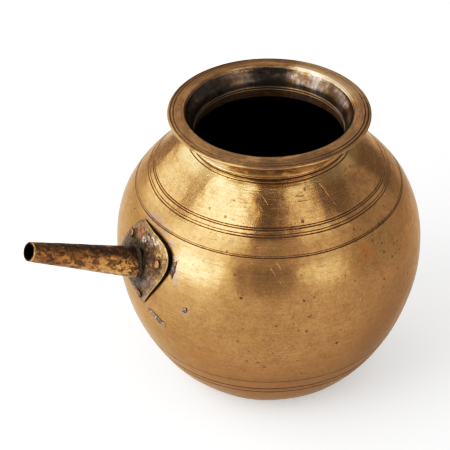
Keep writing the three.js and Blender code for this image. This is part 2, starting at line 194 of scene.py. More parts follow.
# Solder lumps: node, place across and up, half sizes, height, lean in degrees, and seed
SOLDER_LUMPS = {
    "plate_lump": ("plate_solder", 8.4, 17.4, 4.4, 2.1, 0.9, -6, 61),
    "edge_bead": ("edge_solder", 28.1, 9.8, 1.5, 6, 0.9, 4, 62),
    "run_bead": ("solder_run", 18.6, -27, 8, 2.4, 0.7, -19, 63),
    "spot_bead": ("solder_spot", 39.4, -11, 2, 1.7, 0.5, 20, 64),
}
SOLDER_GAP = 0.3
LUMP_SEAT = 0.05
LUMP_STEPS = 96
LUMP_WAVES = (2, 3, 5, 7)
LUMP_ROUGH = 0.3
LUMP_BUMPS = (4, 0.9)

# Steps in searches along the wall, and the range of a random wave's start, in radians
NEAREST_STEPS = 3
SEARCH_STEPS = 30
WAVE_START = 6.3
WAVE_STRETCH = 1.3

# Tones of the vessel's wall
BRASS_GOLD = (0.36, 0.216, 0.1)
BRASS_OLIVE = (0.3, 0.183, 0.077)
BRASS_BROWN = (0.2, 0.105, 0.045)
BRASS_DULL = (0.19, 0.113, 0.057)
BRASS_SHADE = (0.18, 0.1, 0.028)
BRASS_ORANGE = (0.34, 0.17, 0.07)
BRASS_PALE = (0.5, 0.36, 0.2)
FOOT_OLIVE = (0.44, 0.33, 0.17)
SCRATCH_GOLD = (0.7, 0.55, 0.35)
LEAD_GREY = (0.26, 0.2, 0.175)
RUST_RED = (0.16, 0.07, 0.038)
# Dark tone of grime in pits and lines, also used for the painted shadow under the plate's edge
GRIME_AND_SHADOW = (0.045, 0.02, 0.01)

# Tint of the wall's reflections, and the thin clear layer over it
SHEEN = (0.8, 0.6, 0.42)
LACQUER = {"Coat_Weight": 0.45, "Coat_IOR": 1.4, "Coat_Roughness": 0.28}

# Tones of the lip, the flare and the throat
RIM_TAN = (0.47, 0.32, 0.18)
RIM_BROWN = (0.26, 0.165, 0.1)
RIM_STREAK = (0.115, 0.073, 0.046)
RIM_SMUDGE = (0.15, 0.092, 0.055)
# Tones of the painted highlight and the painted shade on the lip
RIM_HIGHLIGHT = (0.64, 0.5, 0.37)
RIM_SHADE = (0.12, 0.082, 0.05)
FLARE_GOLD = (0.6, 0.42, 0.22)
# Tone of the painted highlight on the flare
FLARE_HIGHLIGHT_TONE = (0.85, 0.68, 0.46)
FLARE_OLIVE = (0.15, 0.1, 0.03)
SMOKE_DARK = (0.12, 0.096, 0.082)
SMOKE_PALE = (0.3, 0.24, 0.19)
THROAT_OCHRE = (0.17, 0.1, 0.04)
THROAT_UMBER = (0.085, 0.05, 0.022)
SOOT_BLACK = (0.028, 0.02, 0.014)
RUST_BROWN = (0.17, 0.075, 0.022)

# Tones of the tube
PIPE_OCHRE = (0.38, 0.22, 0.088)
PIPE_BROWN = (0.2, 0.108, 0.05)
PIPE_GOLD = (0.6, 0.37, 0.16)
PIPE_DARK = (0.085, 0.048, 0.034)
PIPE_WORN = (0.46, 0.3, 0.14)
PIPE_SPECK = (0.03, 0.017, 0.012)
PIPE_BAND = (0.075, 0.055, 0.052)
PIPE_EDGE = (0.5, 0.38, 0.24)
PIPE_INSIDE = (0.01, 0.008, 0.006)

# Tones of the plate
PLATE_TAN = (0.3, 0.195, 0.105)
PLATE_BROWN = (0.17, 0.115, 0.07)
PLATE_GRIME = (0.08, 0.055, 0.036)
# Dark tone of soot round the rivets, and of soot with painted shade round the tube's foot
PLATE_SOOT_AND_SHADE = (0.055, 0.043, 0.03)
PLATE_GOLD = (0.34, 0.235, 0.12)
PLATE_RED = (0.34, 0.165, 0.11)
PLATE_MAUVE = (0.2, 0.155, 0.15)
PLATE_SPECK = (0.045, 0.031, 0.021)
PLATE_GREY = (0.55, 0.5, 0.44)
PLATE_EDGE = (0.52, 0.39, 0.22)

# Tones of the rivets and the solder
RIVET_TAN = (0.22, 0.14, 0.07)
RIVET_BROWN = (0.1, 0.066, 0.038)
RIVET_RED = (0.32, 0.15, 0.09)
RIVET_SPECK = (0.04, 0.028, 0.02)
SOLDER_PALE = (0.27, 0.235, 0.21)
SOLDER_GREY = (0.13, 0.107, 0.095)
SOLDER_THIN = (0.28, 0.19, 0.11)
SOLDER_AGED = (0.05, 0.038, 0.026)
SOLDER_AGED_TAN = (0.11, 0.076, 0.04)
SOLDER_SPECK = (0.05, 0.04, 0.035)

# Noise masks: scale, or a stretch in three directions, start and end of the mask, seed, detail, roughness
WALL_NOISE = {
    "clouds": (30, 0.36, 0.66, 3, 5),
    "mottle": (130, 0.42, 0.68, 4, 6, 0.65),
    "red": (34, 0.56, 0.72, 5, 5, 0.65),
    "grain": (900, 0.35, 0.7, 6, 2),
    "ripples": (42, 0.2, 0.8, 8, 2),
    "wear": (380, 0.42, 0.62, 18, 5, 0.7),
    "dust": (1500, 0.5, 0.68, 19, 2),
    "haze": (300, 0.2, 0.66, 17, 6, 0.7),
    "broken_line": (300, 0.36, 0.5, 23, 3),
    "rim": (60, 0.4, 0.6, 15, 5, 0.65),
    "ochre": (150, 0.48, 0.62, 26, 6, 0.7),
    "umber": (110, 0.45, 0.6, 16, 6, 0.7),
    "soot": (260, 0.3, 0.52, 27, 5, 0.7),
    "rust": (260, 0.3, 0.7, 14, 6, 0.7),
}
TURNED_NOISE = {
    "turning": ((16, 16, 1100), 0.3, 0.7, 1, 4),
    "brushed": ((1500, 1500, 60), 0.3, 0.7, 2, 3),
    "round_streaks": ((60, 60, 700), 0.4, 0.6, 13, 5, 0.7),
    "broken_grime": ((700, 700, 300), 0.3, 0.6, 11, 3),
}
RIM_SMUDGES = (150, 0.48, 0.62, 12, 5, 0.7)
OLIVE_MOTTLE = ((110, 110, 220), 0.46, 0.56, 2310, 5, 0.7)
THROAT_STREAKS = ((300, 300, 60), 0.44, 0.72, 7, 5, 0.7)
PIPE_NOISE = {
    "clouds": ((75, 165, 165), 0.38, 0.6, 825, 6, 0.65, 0.4),
    "blotches": ((230, 345, 345), 0.46, 0.58, 2760, 6, 0.7),
    "worn": ((120, 240, 240), 0.56, 0.7, 1800, 5, 0.65),
}
PIPE_PLACE_NOISE = {
    "specks": (900, 0.54, 0.62, 13, 3),
    "broken_band": (160, 0.36, 0.55, 16, 5, 0.65),
    "broken_edge": (300, 0.35, 0.6, 17, 3),
}
PLATE_NOISE = {
    "clouds": (90, 0.38, 0.6, 21, 6, 0.65),
    "grime": (230, 0.46, 0.6, 22, 6, 0.75),
    "specks": (800, 0.47, 0.58, 24, 4, 0.6),
    "speckle": (800, 0.46, 0.55, 25, 4, 0.7),
}
RIVET_NOISE = {
    "clouds": (300, 0.4, 0.62, 31, 5, 0.65),
    "specks": (1000, 0.52, 0.62, 32, 3),
}
SOLDER_NOISE = {
    "clouds": (350, 0.4, 0.62, 41, 6, 0.65),
    "specks": (1200, 0.5, 0.62, 42, 3),
}

# How far the edges of spots wander: scale of the noise and reach
SPOT_EDGES = (600, 2)
PIT_EDGES = (500, 1.6)
HAZE_EDGES = (300, 6)
SCRATCH_BENDS = (60, 1)
BAND_EDGES = (60, 8)
SOOT_EDGES = (200, 7)
STREAK_BENDS = (160, 5)
PLATE_EDGES = (240, 7)

# Hairlines over the whole wall: slope in degrees, start of the mask and seed
HAIRLINES = [(50, 0.64, 9), (-38, 0.66, 10), (4, 0.64, 20)]
HAIRLINE_STRETCH = (45, 2300, 1)
HAIRLINE_EDGE = 0.05

# Spots and strokes: how much of a spot is full, and where a stroke's edge starts and ends
SPOT_CORE = 0.4
STROKE_EDGE = 1.6
STROKE_CORE = 0.4

# Scattered pits: cells to the metre, largest size as a share of a cell, and share of cells with a pit
LARGE_PITS = (55, 0.05, 0.35)
SMALL_PITS = (190, 0.1, 0.3)
SPOILED_PITS = (210, 0.17, 0.5)

# Heights between which the looks change on the vessel; a zone has a foot and a top
# The wall darkens towards the bottom: painted shade of the shadowed floor it mirrors, partly duller brass
LOW_DULL_AND_SHADE = (75, 20)
LOW_GLOSS = (132, 112)
# The throat turns near black below these heights, deeper into the pot
DARKER_BELOW = (149, 144)
THROAT_DULL_FOOT = (147, 151)
THROAT_DULL_TOP = (163, 158)
BAND = ((117, 122), (132.5, 129))
NECK_FOOT = ((145, 150), (153.4, 152.6))
UNDER_LIP = ((153, 156), (166, 164))
RUST_STRIP = ((148, 154), (157, 156))

# Places on the lip and the flare where highlight and shade are painted: directions in degrees, radius,
# height and size
LIP_HIGHLIGHT = ((178, 192, 206), 50, LIP_HEIGHT, 17)
LIP_SHADE = ((92, 110, 272, 290), 50, LIP_HEIGHT, 17)
FLARE_PAINTED_HIGHLIGHT = ((-2, 15), 45, 157, 15)

# Soot on the throat: turn from the spout in degrees, height and size
SOOT = [(292, 161, 24), (318, 161, 24), (345, 161, 24), (238, 161, 15)]

# Pits and stains on the wall: turn, height and size
PITS = [
    (15, 149, 1.2), (29, 151, 0.8), (15, 140, 0.8), (38, 144, 0.7), (26, 139, 1), (36, 138, 1.1),
    (75, 137, 1.1), (81, 148, 0.9), (41, 125, 0.8), (73, 92, 0.8), (61, 88, 0.8), (72, 83, 0.9),
    (47, 76, 0.9), (75, 103, 0.7), (49, 51, 0.9), (112, 107, 1), (114, 98, 1.2), (109, 48, 1),
]
STAINS = [
    (92, 147.5, 2), (93, 145.5, 1.6), (94, 143, 1.4), (94.5, 141, 1.1), (95, 139, 1), (28, 130.5, 3.5),
    (100, 117, 7), (97, 150, 5), (53, 150, 5),
]

# Where the wall is pitted most, where its low right side is darkened as painted shade and duller brass, and
# where a dark band is painted as the dark reflection between the highlights: turn, height and size
SPOILED = [(105, 118, 26), (112, 92, 30), (72, 90, 14), (30, 128, 9), (52, 60, 16)]
# Painted shade on the low right side, away from the key light, partly duller brass
DULL_AND_SHADED_SIDE = [(122, 62, 56)]
# A band painted dark olive where the shoulder mirrors the dark gap between the lights: painted dark
# reflection
DARK_REFLECTION_BAND = [(56, 145, 10), (60, 138, 10)]

# Fine bright scratches and darker streaks on the wall: turn and height of both ends, half width
SCRATCHES = [
    (52, 143.8, 56.6, 140, 0.1), (53.9, 147, 57.6, 143.6, 0.1), (58.7, 119.7, 63.1, 111.7, 0.1),
    (61.1, 122.2, 62.9, 118.7, 0.1), (47.8, 137.4, 52.2, 134, 0.12), (43, 118, 47, 103, 0.1),
    (80, 112, 71, 101, 0.1), (35, 100, 49, 90, 0.1), (66, 74, 58, 62, 0.1), (97, 100, 88, 84, 0.1),
]
CRACKS = [
    (91.8, 147.5, 93.2, 143.6, 0.7), (93.2, 143.6, 94.7, 139.1, 0.5), (93.4, 143.2, 91.4, 140.5, 0.4),
    (74, 146.2, 79, 145.6, 0.22), (75, 144.2, 82, 143.9, 0.18),
]

# Grey haze of old solder on the wall: across, up and size
HAZE = [
    (-5, 25, 3.4), (0, 26, 4), (6, 26, 4.4), (13, 24.5, 4.6), (20, 20.5, 4), (27, 15, 4), (30, 9, 4.4),
    (31, 4, 3.4), (9.5, -24, 3), (14, -25.4, 3.8), (19, -27.4, 4.4), (23, -29.4, 4.2), (39, -11.3, 4),
]

# Patches on the plate: across, up and size
RED_PATCHES = [(-1, 17, 4.2), (-12.5, 12.5, 3), (4, -18, 3)]
SOLDER_SPECKLE = [(4.3, 16.1, 2.6), (7.4, 17.1, 3.2), (10.4, 17.6, 3.2), (13.2, 18.2, 2.8), (16.3, 18.6, 2)]
MAUVE_PATCHES = [(18.5, -1, 3.6), (13, -4, 3)]
PLATE_MIDDLE = (5, 5)
# Darkening round the tube's foot: painted shade in the crease, with soot
FOOT_SHADE_AND_SOOT = (20, 11)
RIVET_SOOT = 1.7
RIVET_LIFT = 1.5

# Dark bands above and below the tube's side, and how far up it gold and specks reach
PIPE_BAND_ABOVE = (4.4, 6.4)
PIPE_BAND_BELOW = (-4.4, -7)
PIPE_GOLD_ALONG = (52, 14)
PIPE_SPECKS_ALONG = (26, 12)

# Painted shadow on the wall under the plate's lifted right edge: steps along each side, size of a spot and
# least way to the right
EDGE_SHADOW_STEPS = 36
EDGE_SHADOW_SIZE = 0.7
EDGE_SHADOW_START = 1

# Camera, as the photo's: place and aim, roll in degrees, lens and film
CAMERA_PLACE = (481.6, 770.8, 748.2)
CAMERA_AIM = (13.0, -26.0, 81.1)
CAMERA_ROLL = -0.5
CAMERA_LENS = 160
CAMERA_FILM = 36

# The camera's response: light, then tone, and the light that is white
WHITE_LIGHT = 2
RESPONSE = [(0.13, 0.035), (0.3, 0.125), (0.64, 0.39), (1, 0.635), (1.4, 0.83)]

# Soft panels: direction, elevation, angles across and up in degrees, and radiance
PANELS = {
    "left_low": (-1, 14, 36, 32, 6.8),
    "left_low_wide": (-3, 14, 58, 34, 2.5),
    "left_foot": (2, 3, 40, 10, 5),
    "left_mid": (3, 37, 38, 13, 3.9),
    "left_high": (-1, 54, 42, 22, 7),
    "left_wide": (298, 24, 44, 32, 4.2),
    "right_low": (98, 15, 34, 28, 4.5),
    "right_mid": (118, 36, 22, 14, 1.8),
    "right_high": (105, 54, 24, 24, 2.9),
    "right_fill": (156, 18, 52, 36, 0.8),
    "back_fill": (236, 42, 70, 36, 1.1),
}
PANEL_DISTANCE = 1300
ROOM_LIGHT = 0.82

# Floor
FLOOR_REACH = 1250
FLOOR_TONE = (0.76, 0.76, 0.76)
FLOOR_ROUGHNESS = 0.8
FLOOR_GLOW = 0.42

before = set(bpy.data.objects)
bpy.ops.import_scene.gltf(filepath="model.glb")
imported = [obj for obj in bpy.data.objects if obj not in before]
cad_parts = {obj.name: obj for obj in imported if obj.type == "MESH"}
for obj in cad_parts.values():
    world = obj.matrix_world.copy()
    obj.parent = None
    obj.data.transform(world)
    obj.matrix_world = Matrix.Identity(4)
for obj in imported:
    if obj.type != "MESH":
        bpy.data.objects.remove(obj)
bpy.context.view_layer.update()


# The vessel's outer wall, as arrays along the meridian from the base's edge to the neck


def bezier(a, b, c, d, t):
    t = np.asarray(t, float)[:, None]
    a, b, c, d = (np.array(p, float) for p in (a, b, c, d))
    return (1 - t) ** 3 * a + 3 * (1 - t) ** 2 * t * b + 3 * (1 - t) * t * t * c + t**3 * d


def curve(steps, *points):
    return bezier(*points, np.linspace(0, 1, steps))


def lengths_along(points):
    return np.concatenate([[0], np.cumsum(np.hypot(*np.diff(points, axis=0).T))])


def meridian():
    lower = curve(
        MERIDIAN_STEPS,
        (BASE_RADIUS, 0),
        (BASE_RADIUS + BASE_CORNER, BASE_RISE),
        (BELLY_RADIUS, BELLY_HEIGHT - BELLY_BELOW),
        (BELLY_RADIUS, BELLY_HEIGHT),
    )
    upper = curve(
        MERIDIAN_STEPS,
        (BELLY_RADIUS, BELLY_HEIGHT),
        (BELLY_RADIUS, BELLY_HEIGHT + BELLY_ABOVE),
        (NECK_RADIUS + SHOULDER_OUT, NECK_HEIGHT - SHOULDER_DOWN),
        (NECK_RADIUS, NECK_HEIGHT),
    )
    points = np.vstack([lower[:-1], upper])
    along = lengths_along(points)
    return points, along, np.gradient(points, along, axis=0)


WALL_POINTS, WALL_ALONG, WALL_TANGENT = meridian()


def along_at(height):
    return np.interp(height, WALL_POINTS[:, 1], WALL_ALONG)


# Radius, height and outward normal at distances along the meridian.
def wall_at(along):
    radius, height, slope_r, slope_z = (
        np.interp(along, WALL_ALONG, values) for values in (*WALL_POINTS.T, *WALL_TANGENT.T)
    )
    size = np.hypot(slope_r, slope_z)
    return radius, height, slope_z / size, -slope_r / size


# Rings at one depth in the wall: radius, height and distance along.
def wall_run(start, end, depth, spacing):
    along = np.linspace(start, end, max(2, int(abs(end - start) / spacing) + 1))
    radius, height, normal_r, normal_z = wall_at(along)
    return np.stack([radius - depth * normal_r, height - depth * normal_z, along], axis=1)


# Smooth steps and uneven shapes


def smooth(value):
    x = np.clip(value, 0, 1)
    return x * x * (3 - 2 * x)


# Any number, squashed to lie between 0 and 1.
def squashed(value):
    return 0.5 + 0.5 * np.tanh(value)


# Numbers that vary smoothly along the vessel and close up round it.
def waves(seed, angle, along, longest, shortest, count=14):
    draw = np.random.default_rng(seed)
    total = np.zeros(np.broadcast(angle, along).shape)
    for _ in range(count):
        length = longest * (shortest / longest) ** draw.random()
        turn = draw.uniform(0, 2 * np.pi)
        around = np.round(BELLY_RADIUS * 2 * np.pi / length * np.cos(turn) / WAVE_STRETCH)
        rise = 2 * np.pi / length * np.sin(turn)
        total += np.sin(around * angle + rise * along + draw.uniform(0, WAVE_START))
    return total / math.sqrt(count)


# Numbers that vary smoothly over a patch of the bowl.
def ripple(seed, across, up, longest, shortest, count=12):
    draw = np.random.default_rng(seed)
    total = np.zeros(np.broadcast(across, up).shape)
    for _ in range(count):
        length = longest * (shortest / longest) ** draw.random()
        turn = draw.uniform(0, 2 * np.pi)
        way = np.cos(turn) * across + np.sin(turn) * up
        total += np.sin(2 * np.pi / length * way + draw.uniform(0, WAVE_START))
    return total / math.sqrt(count)


# Numbers that vary smoothly round a circle.
def uneven_round(seed, angle, rounds):
    draw = np.random.default_rng(seed)
    return sum(draw.uniform(0.3, 1) * np.sin(k * angle + draw.uniform(0, WAVE_START)) for k in rounds)


def full_circle(steps):
    return np.linspace(0, 2 * np.pi, steps, endpoint=False)


# Points on circles round the axis.
def on_circle(radius, angle, height):
    return np.stack(np.broadcast_arrays(radius * np.cos(angle), radius * np.sin(angle), height), axis=-1)


# Meshes


def new_mesh(name, points, faces, attributes=()):
    mesh = bpy.data.meshes.new(name)
    mesh.from_pydata((points.reshape(-1, 3) * MM).tolist(), [], faces)
    for key, values in attributes:
        data = mesh.attributes.new(key, "FLOAT_VECTOR", "POINT")
        data.data.foreach_set("vector", np.asarray(values, np.float32).ravel())
    mesh.validate()
    mesh.shade_smooth()
    piece = bpy.data.objects.new(name, mesh)
    bpy.context.scene.collection.objects.link(piece)
    return piece


def grid_faces(rows, columns, close_rows=False):
    row = np.arange(rows if close_rows else rows - 1)
    a, b = np.meshgrid(row, np.arange(columns), indexing="ij")
    c, d = (a + 1) % rows, (b + 1) % columns
    quads = np.stack([a * columns + b, a * columns + d, c * columns + d, c * columns + b], axis=-1)
    return quads.reshape(-1, 4).tolist()


# A grid of faces round a solid, with one face over its first ring and one over its last.
def capped_faces(rows, columns):
    first = list(range(columns))[::-1]
    last = [(rows - 1) * columns + i for i in range(columns)]
    return grid_faces(rows, columns) + [first, last]


def finish_piece(piece, material, slot, *nodes):
    piece.data.materials.append(material)
    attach(piece, "root")
    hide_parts(*nodes)
    return piece


# An outline turned round the axis: closed on itself, or open at both ends where it starts and ends
# at the axis. Each outline row is radius, height, distance along,
# and the coat: dirt in lines, oxide inside, polish on edges.
def turned_piece(name, outline, dent):
    angle = full_circle(VESSEL_STEPS)[None, :]
    along = outline[:, 2:3]
    radius = outline[:, 0:1] - dent * squashed(waves(DENT_SEED, angle, along, *DENT_WAVES))
    points = on_circle(radius, angle, outline[:, 1:2])
    turned = on_circle(BELLY_RADIUS, angle, along)
    coat = np.broadcast_to(outline[:, None, 3:6], points.shape)
    faces = grid_faces(len(outline), VESSEL_STEPS, close_rows=(outline[:, 0] > 0).all())
    return new_mesh(name, points, faces, [("turned", turned * MM), ("coat", coat)])


# Rings of the outer wall between two distances along, close together at the turned lines.
def lined_wall(start, end, lines, seams):
    rings = [np.linspace(start, end, int((end - start) / RING_SPACING) + 1)]
    rings += [start + SEAM_RINGS, end - SEAM_RINGS]
    for height, _, half_width in lines:
        centre = along_at(height)
        reach = LINE_REACH * half_width
        rings.append(np.arange(centre - reach, centre + reach, LINE_SPACING))
    along = np.unique(np.concatenate(rings).round(3))
    along = along[(along >= start) & (along <= end)]
    radius, height, normal_r, normal_z = wall_at(along)
    depth = np.zeros_like(along)
    dirt = np.zeros_like(along)
    for line_height, line_depth, half_width in lines:
        near = np.exp(-(((along - along_at(line_height)) / half_width) ** 2))
        depth += line_depth * near
        dirt += near**LINE_DIRT
    for edge in seams:
        near = np.exp(-(((along - edge) / SEAM_EDGE) ** 2))
        depth += SEAM_DEPTH * near
        dirt += near
    run = np.stack([radius - depth * normal_r, height - depth * normal_z, along], axis=1)
    return with_coat(run, np.clip(dirt, 0, 1), 0, 0)


def with_coat(run, dirt, oxide, polish):
    coat = [np.broadcast_to(np.asarray(value, float), len(run)) for value in (dirt, oxide, polish)]
    return np.column_stack([run, *coat])


# A flat ring round the axis, counted along from the base's edge.
def level_ring(radius, height, oxide, polish):
    return [radius, height, radius - BASE_RADIUS, 0, oxide, polish]


def bowl_shell():
    seam = along_at(SHOULDER_SEAM_HEIGHT)
    lap = along_at(SHOULDER_SEAM_HEIGHT - SHOULDER_LAP)
    base = [level_ring(radius, 0, 0, 0.2) for radius in BASE_RINGS]
    outer = lined_wall(0, seam, BOWL_LINES, [seam])
    tongue = wall_run(seam, lap, (WALL - SEAM_GAP) / 2, LAP_SPACING)
    inside = wall_run(lap, INSIDE_START, WALL, INSIDE_SPACING)
    inside = inside[inside[:, 1] > INSIDE_LOWEST]
    floor = [level_ring(radius, WALL, 1, 0) for radius in FLOOR_RINGS]
    outline = [base, outer, with_coat(tongue, 1, 1, 0), with_coat(inside, 0, 1, 0), floor]
    return turned_piece("bowl_shell", np.vstack(outline), DENT_DEPTH)


def shoulder_shell():
    seam = along_at(SHOULDER_SEAM_HEIGHT + SEAM_SHOWN)
    lap = along_at(SHOULDER_SEAM_HEIGHT - SHOULDER_LAP + SEAM_GAP)
    neck = along_at(NECK_HEIGHT - SEAM_SHOWN)
    neck_lap = along_at(NECK_HEIGHT - NECK_LAP)
    outline = [
        lined_wall(seam, neck, SHOULDER_LINES, [seam, neck]),
        with_coat(wall_run(neck, neck_lap, (WALL - SEAM_GAP) / 2, NECK_LAP_SPACING), 1, 1, 0),
        with_coat(wall_run(neck_lap, lap, WALL, LAP_SPACING), 0, 1, 0),
        with_coat(wall_run(lap, seam, (WALL + SEAM_GAP) / 2, LAP_SPACING), 1, 1, 0),
    ]
    return turned_piece("shoulder_shell", np.vstack(outline), DENT_DEPTH)


# The collar's outside, from the bead at its foot up the flare and round the lip's edge
BEAD_TOP = (NECK_RADIUS + NECK_BEAD, NECK_HEIGHT + NECK_BEAD_HEIGHT)
EDGE_TOP = LIP_HEIGHT - LIP_DROP
EDGE_UNDER = (LIP_RADIUS - LIP_UNDERCUT, EDGE_TOP - LIP_EDGE)


def neck_foot():
    run = curve(
        10,
        (NECK_RADIUS, NECK_HEIGHT),
        (NECK_RADIUS + NECK_BEAD, NECK_HEIGHT + NECK_BEAD_HEIGHT / 3),
        (NECK_RADIUS - NECK_BEAD, NECK_HEIGHT + NECK_BEAD_HEIGHT / 2),
        BEAD_TOP,
    )
    return with_coat(run, np.clip(1.3 - 2.2 * np.linspace(0, 1, len(run)), 0, 1), 0, 0)


def neck_flare():
    rising = (BEAD_TOP[0], BEAD_TOP[1] + FLARE_RISE)
    arriving = (EDGE_UNDER[0] - FLARE_IN, EDGE_UNDER[1] - FLARE_DOWN)
    return with_coat(curve(24, BEAD_TOP, rising, arriving, EDGE_UNDER), 0, FLARE_OXIDE, 0)


def lip_edge():
    run = curve(
        14,
        EDGE_UNDER,
        (LIP_RADIUS + LIP_BULGE, EDGE_UNDER[1] + LIP_BULGE),
        (LIP_RADIUS + LIP_BULGE, EDGE_TOP + LIP_BULGE / 2),
        (LIP_RADIUS - 1, EDGE_TOP + LIP_CREST),
    )
    return with_coat(run, 0, EDGE_OXIDE, 1)


def lip_top():
    land_outer = LIP_LAND_INNER + LIP_LAND_WIDTH
    radius = np.linspace(LIP_RADIUS - 1.05, land_outer, 70)
    height = LIP_HEIGHT - LIP_DROP * (radius - land_outer) / (LIP_RADIUS - land_outer)
    dirt = np.zeros_like(radius)
    for line_radius, line_depth, half_width in LIP_LINES:
        near = np.exp(-(((radius - line_radius) / half_width) ** 2))
        height = height - line_depth * near
        dirt = np.maximum(dirt, near**LIP_LINE_DIRT)
    return with_coat(np.stack([radius, height], axis=1), dirt, TOP_OXIDE, 0)


# The lip's inner round, the throat and the bore with its ridge of two fine lines.
def throat_runs():
    round_end = (LIP_LAND_INNER - LIP_ROUND - LIP_ROUND_IN, LIP_HEIGHT - LIP_ROUND - LIP_ROUND_DOWN)
    inner_round = curve(
        10,
        (LIP_LAND_INNER + 0.3, LIP_HEIGHT),
        (LIP_LAND_INNER - 0.4, LIP_HEIGHT),
        (LIP_LAND_INNER - LIP_ROUND, LIP_HEIGHT - 0.2),
        round_end,
    )
    throat = curve(
        24,
        round_end,
        (LIP_LAND_INNER - LIP_ROUND - THROAT_IN, LIP_HEIGHT - LIP_ROUND - THROAT_DOWN),
        (THROAT_RADIUS, RIDGE_HEIGHT + RIDGE_HALF_HEIGHT + THROAT_STRAIGHT),
        (THROAT_RADIUS, RIDGE_HEIGHT + RIDGE_HALF_HEIGHT),
    )
    height = np.linspace(BORE_TOP, BORE_FOOT, 46)
    ridge = sum(np.exp(-(((height - RIDGE_HEIGHT - line) / RIDGE_WIDTH) ** 2)) for line in RIDGE_LINES)
    bore = np.stack([THROAT_RADIUS - RIDGE_DEPTH * ridge, height], axis=1)
    lap_start = along_at(NECK_HEIGHT - NECK_LAP + SEAM_GAP)
    lap = wall_run(lap_start, along_at(NECK_HEIGHT), (WALL + SEAM_GAP) / 2, NECK_LAP_SPACING)[:, :2]
    runs = [with_coat(throat, 0, 0, 0), with_coat(bore, 0, 0, np.clip(ridge, 0, 1)), with_coat(lap, 1, 0, 0)]
    inside = np.vstack(runs)
    inside[:, 3] = 0.5 + 0.5 * np.clip((LIP_HEIGHT - LIP_ROUND - inside[:, 1]) / 2, 0, 1)
    return with_coat(inner_round, 0, ROUND_OXIDE, 0), inside


def neck_ring():
    rows = np.vstack([neck_foot(), neck_flare(), lip_edge(), lip_top(), *throat_runs()])
    along = WALL_ALONG[-1] + lengths_along(rows[:, :2])
    return turned_piece("neck_ring", np.insert(rows, 2, along, axis=1), NECK_DENT_DEPTH)


# Places on the bowl round the spout: points and normals from arc across and height above the spout


def seat(across, up):
    across, up = np.broadcast_arrays(np.asarray(across, float), np.asarray(up, float))
    radius, height, normal_r, normal_z = wall_at(along_at(SPOUT_HEIGHT + up))
    angle = across / radius
    return on_circle(radius, angle, height), on_circle(normal_r, angle, normal_z)


def above(across, up, height):
    point, normal = seat(across, up)
    return point + normal * np.asarray(height)[..., None]


PLATE_TOP_CORNER = np.array(PLATE_CORNERS[1][0], float)
PLATE_BOTTOM_CORNER = np.array(PLATE_CORNERS[3][0], float)
PLATE_UPWARD = PLATE_TOP_CORNER - PLATE_BOTTOM_CORNER
PLATE_UPWARD /= np.linalg.norm(PLATE_UPWARD)
PLATE_RIGHTWARD = np.array([PLATE_UPWARD[1], -PLATE_UPWARD[0]])


# Heights of the plate's two faces over the wall.
def plate_under(across, up):
    dish = PLATE_DISH * smooth(1 - np.hypot(across, up) / PLATE_DISH_RADIUS)
    right = (across - PLATE_TOP_CORNER[0]) * PLATE_RIGHTWARD[0]
    right = right + (up - PLATE_TOP_CORNER[1]) * PLATE_RIGHTWARD[1]
    return PLATE_GAP + dish + PLATE_LIFT * smooth(right / PLATE_LIFT_WIDTH)


def plate_top(across, up):
    return plate_under(across, up) + PLATE_THICKNESS


def plate_outline(steps_per_side):
    sides = []
    for i, (corner, _, after) in enumerate(PLATE_CORNERS):
        end, before, _ = PLATE_CORNERS[(i + 1) % len(PLATE_CORNERS)]
        t = np.linspace(0, 1, steps_per_side, endpoint=False)
        sides.append(bezier(corner, np.add(corner, after), np.add(end, before), end, t))
    return np.vstack(sides)


# A closed sheet over an outline: rings from the centre out on top, round the edge, and back below.
def sheet_piece(name, centre, outline, rings, top_height, under_height, round_edge, coat):
    centre = np.array(centre, float)
    share = np.linspace(0.02, 1, rings) ** 0.8
    toward = outline - centre
    inward = centre + (1 - round_edge / np.linalg.norm(toward, axis=1)[:, None]) * toward
    top = centre + share[:, None, None] * toward
    top[-1] = inward
    top_points = above(top[..., 0], top[..., 1], top_height(top[..., 0], top[..., 1], share[:, None]))
    edge_top = top_height(outline[:, 0], outline[:, 1], 1.0)
    edge_under = under_height(outline[:, 0], outline[:, 1])
    edge = [above(*outline.T, edge_top - (edge_top - edge_under) * part) for part in (0.3, 0.7)]
    under = centre + share[::-1][:, None, None] * toward
    under[0] = inward
    under_points = above(under[..., 0], under[..., 1], under_height(under[..., 0], under[..., 1]))
    points = np.concatenate([top_points, np.stack(edge), under_points])
    shares = np.concatenate([share, [1, 1], share[::-1]])[:, None]
    return new_mesh(name, points, capped_faces(*points.shape[:2]), [("coat", coat(shares, toward))])


# The plate's coat: how near the edge, whether on its right side, and the sharp edge itself.
def plate_coat(shares, toward):
    toward = toward / np.linalg.norm(toward, axis=1)[:, None]
    right_side = smooth(0.5 + 1.2 * toward @ PLATE_RIGHTWARD)[None, :]
    sharp_edge = np.zeros(shares.shape)
    middle = len(shares) // 2
    sharp_edge[middle - 2:middle + 1] = 1
    return np.stack(np.broadcast_arrays(shares, right_side, sharp_edge * right_side), axis=-1)


def spout_patch():
    def uneven(across, up, depth, seed, longest, shortest):
        return depth * ripple(seed, across, up, longest, shortest)

    def under(across, up):
        return plate_under(across, up) + uneven(across, up, *PLATE_WARP)

    def top(across, up, share):
        lumps = uneven(across, up, *PLATE_HAMMER) * (1 - share**6)
        return under(across, up) + PLATE_THICKNESS - PLATE_THINNED + lumps - PLATE_WORN_EDGE * share**14

    outline = plate_outline(PLATE_SIDE_STEPS)
    return sheet_piece("spout_patch", (0, 0), outline, PLATE_RINGS, top, under, 0.3, plate_coat)


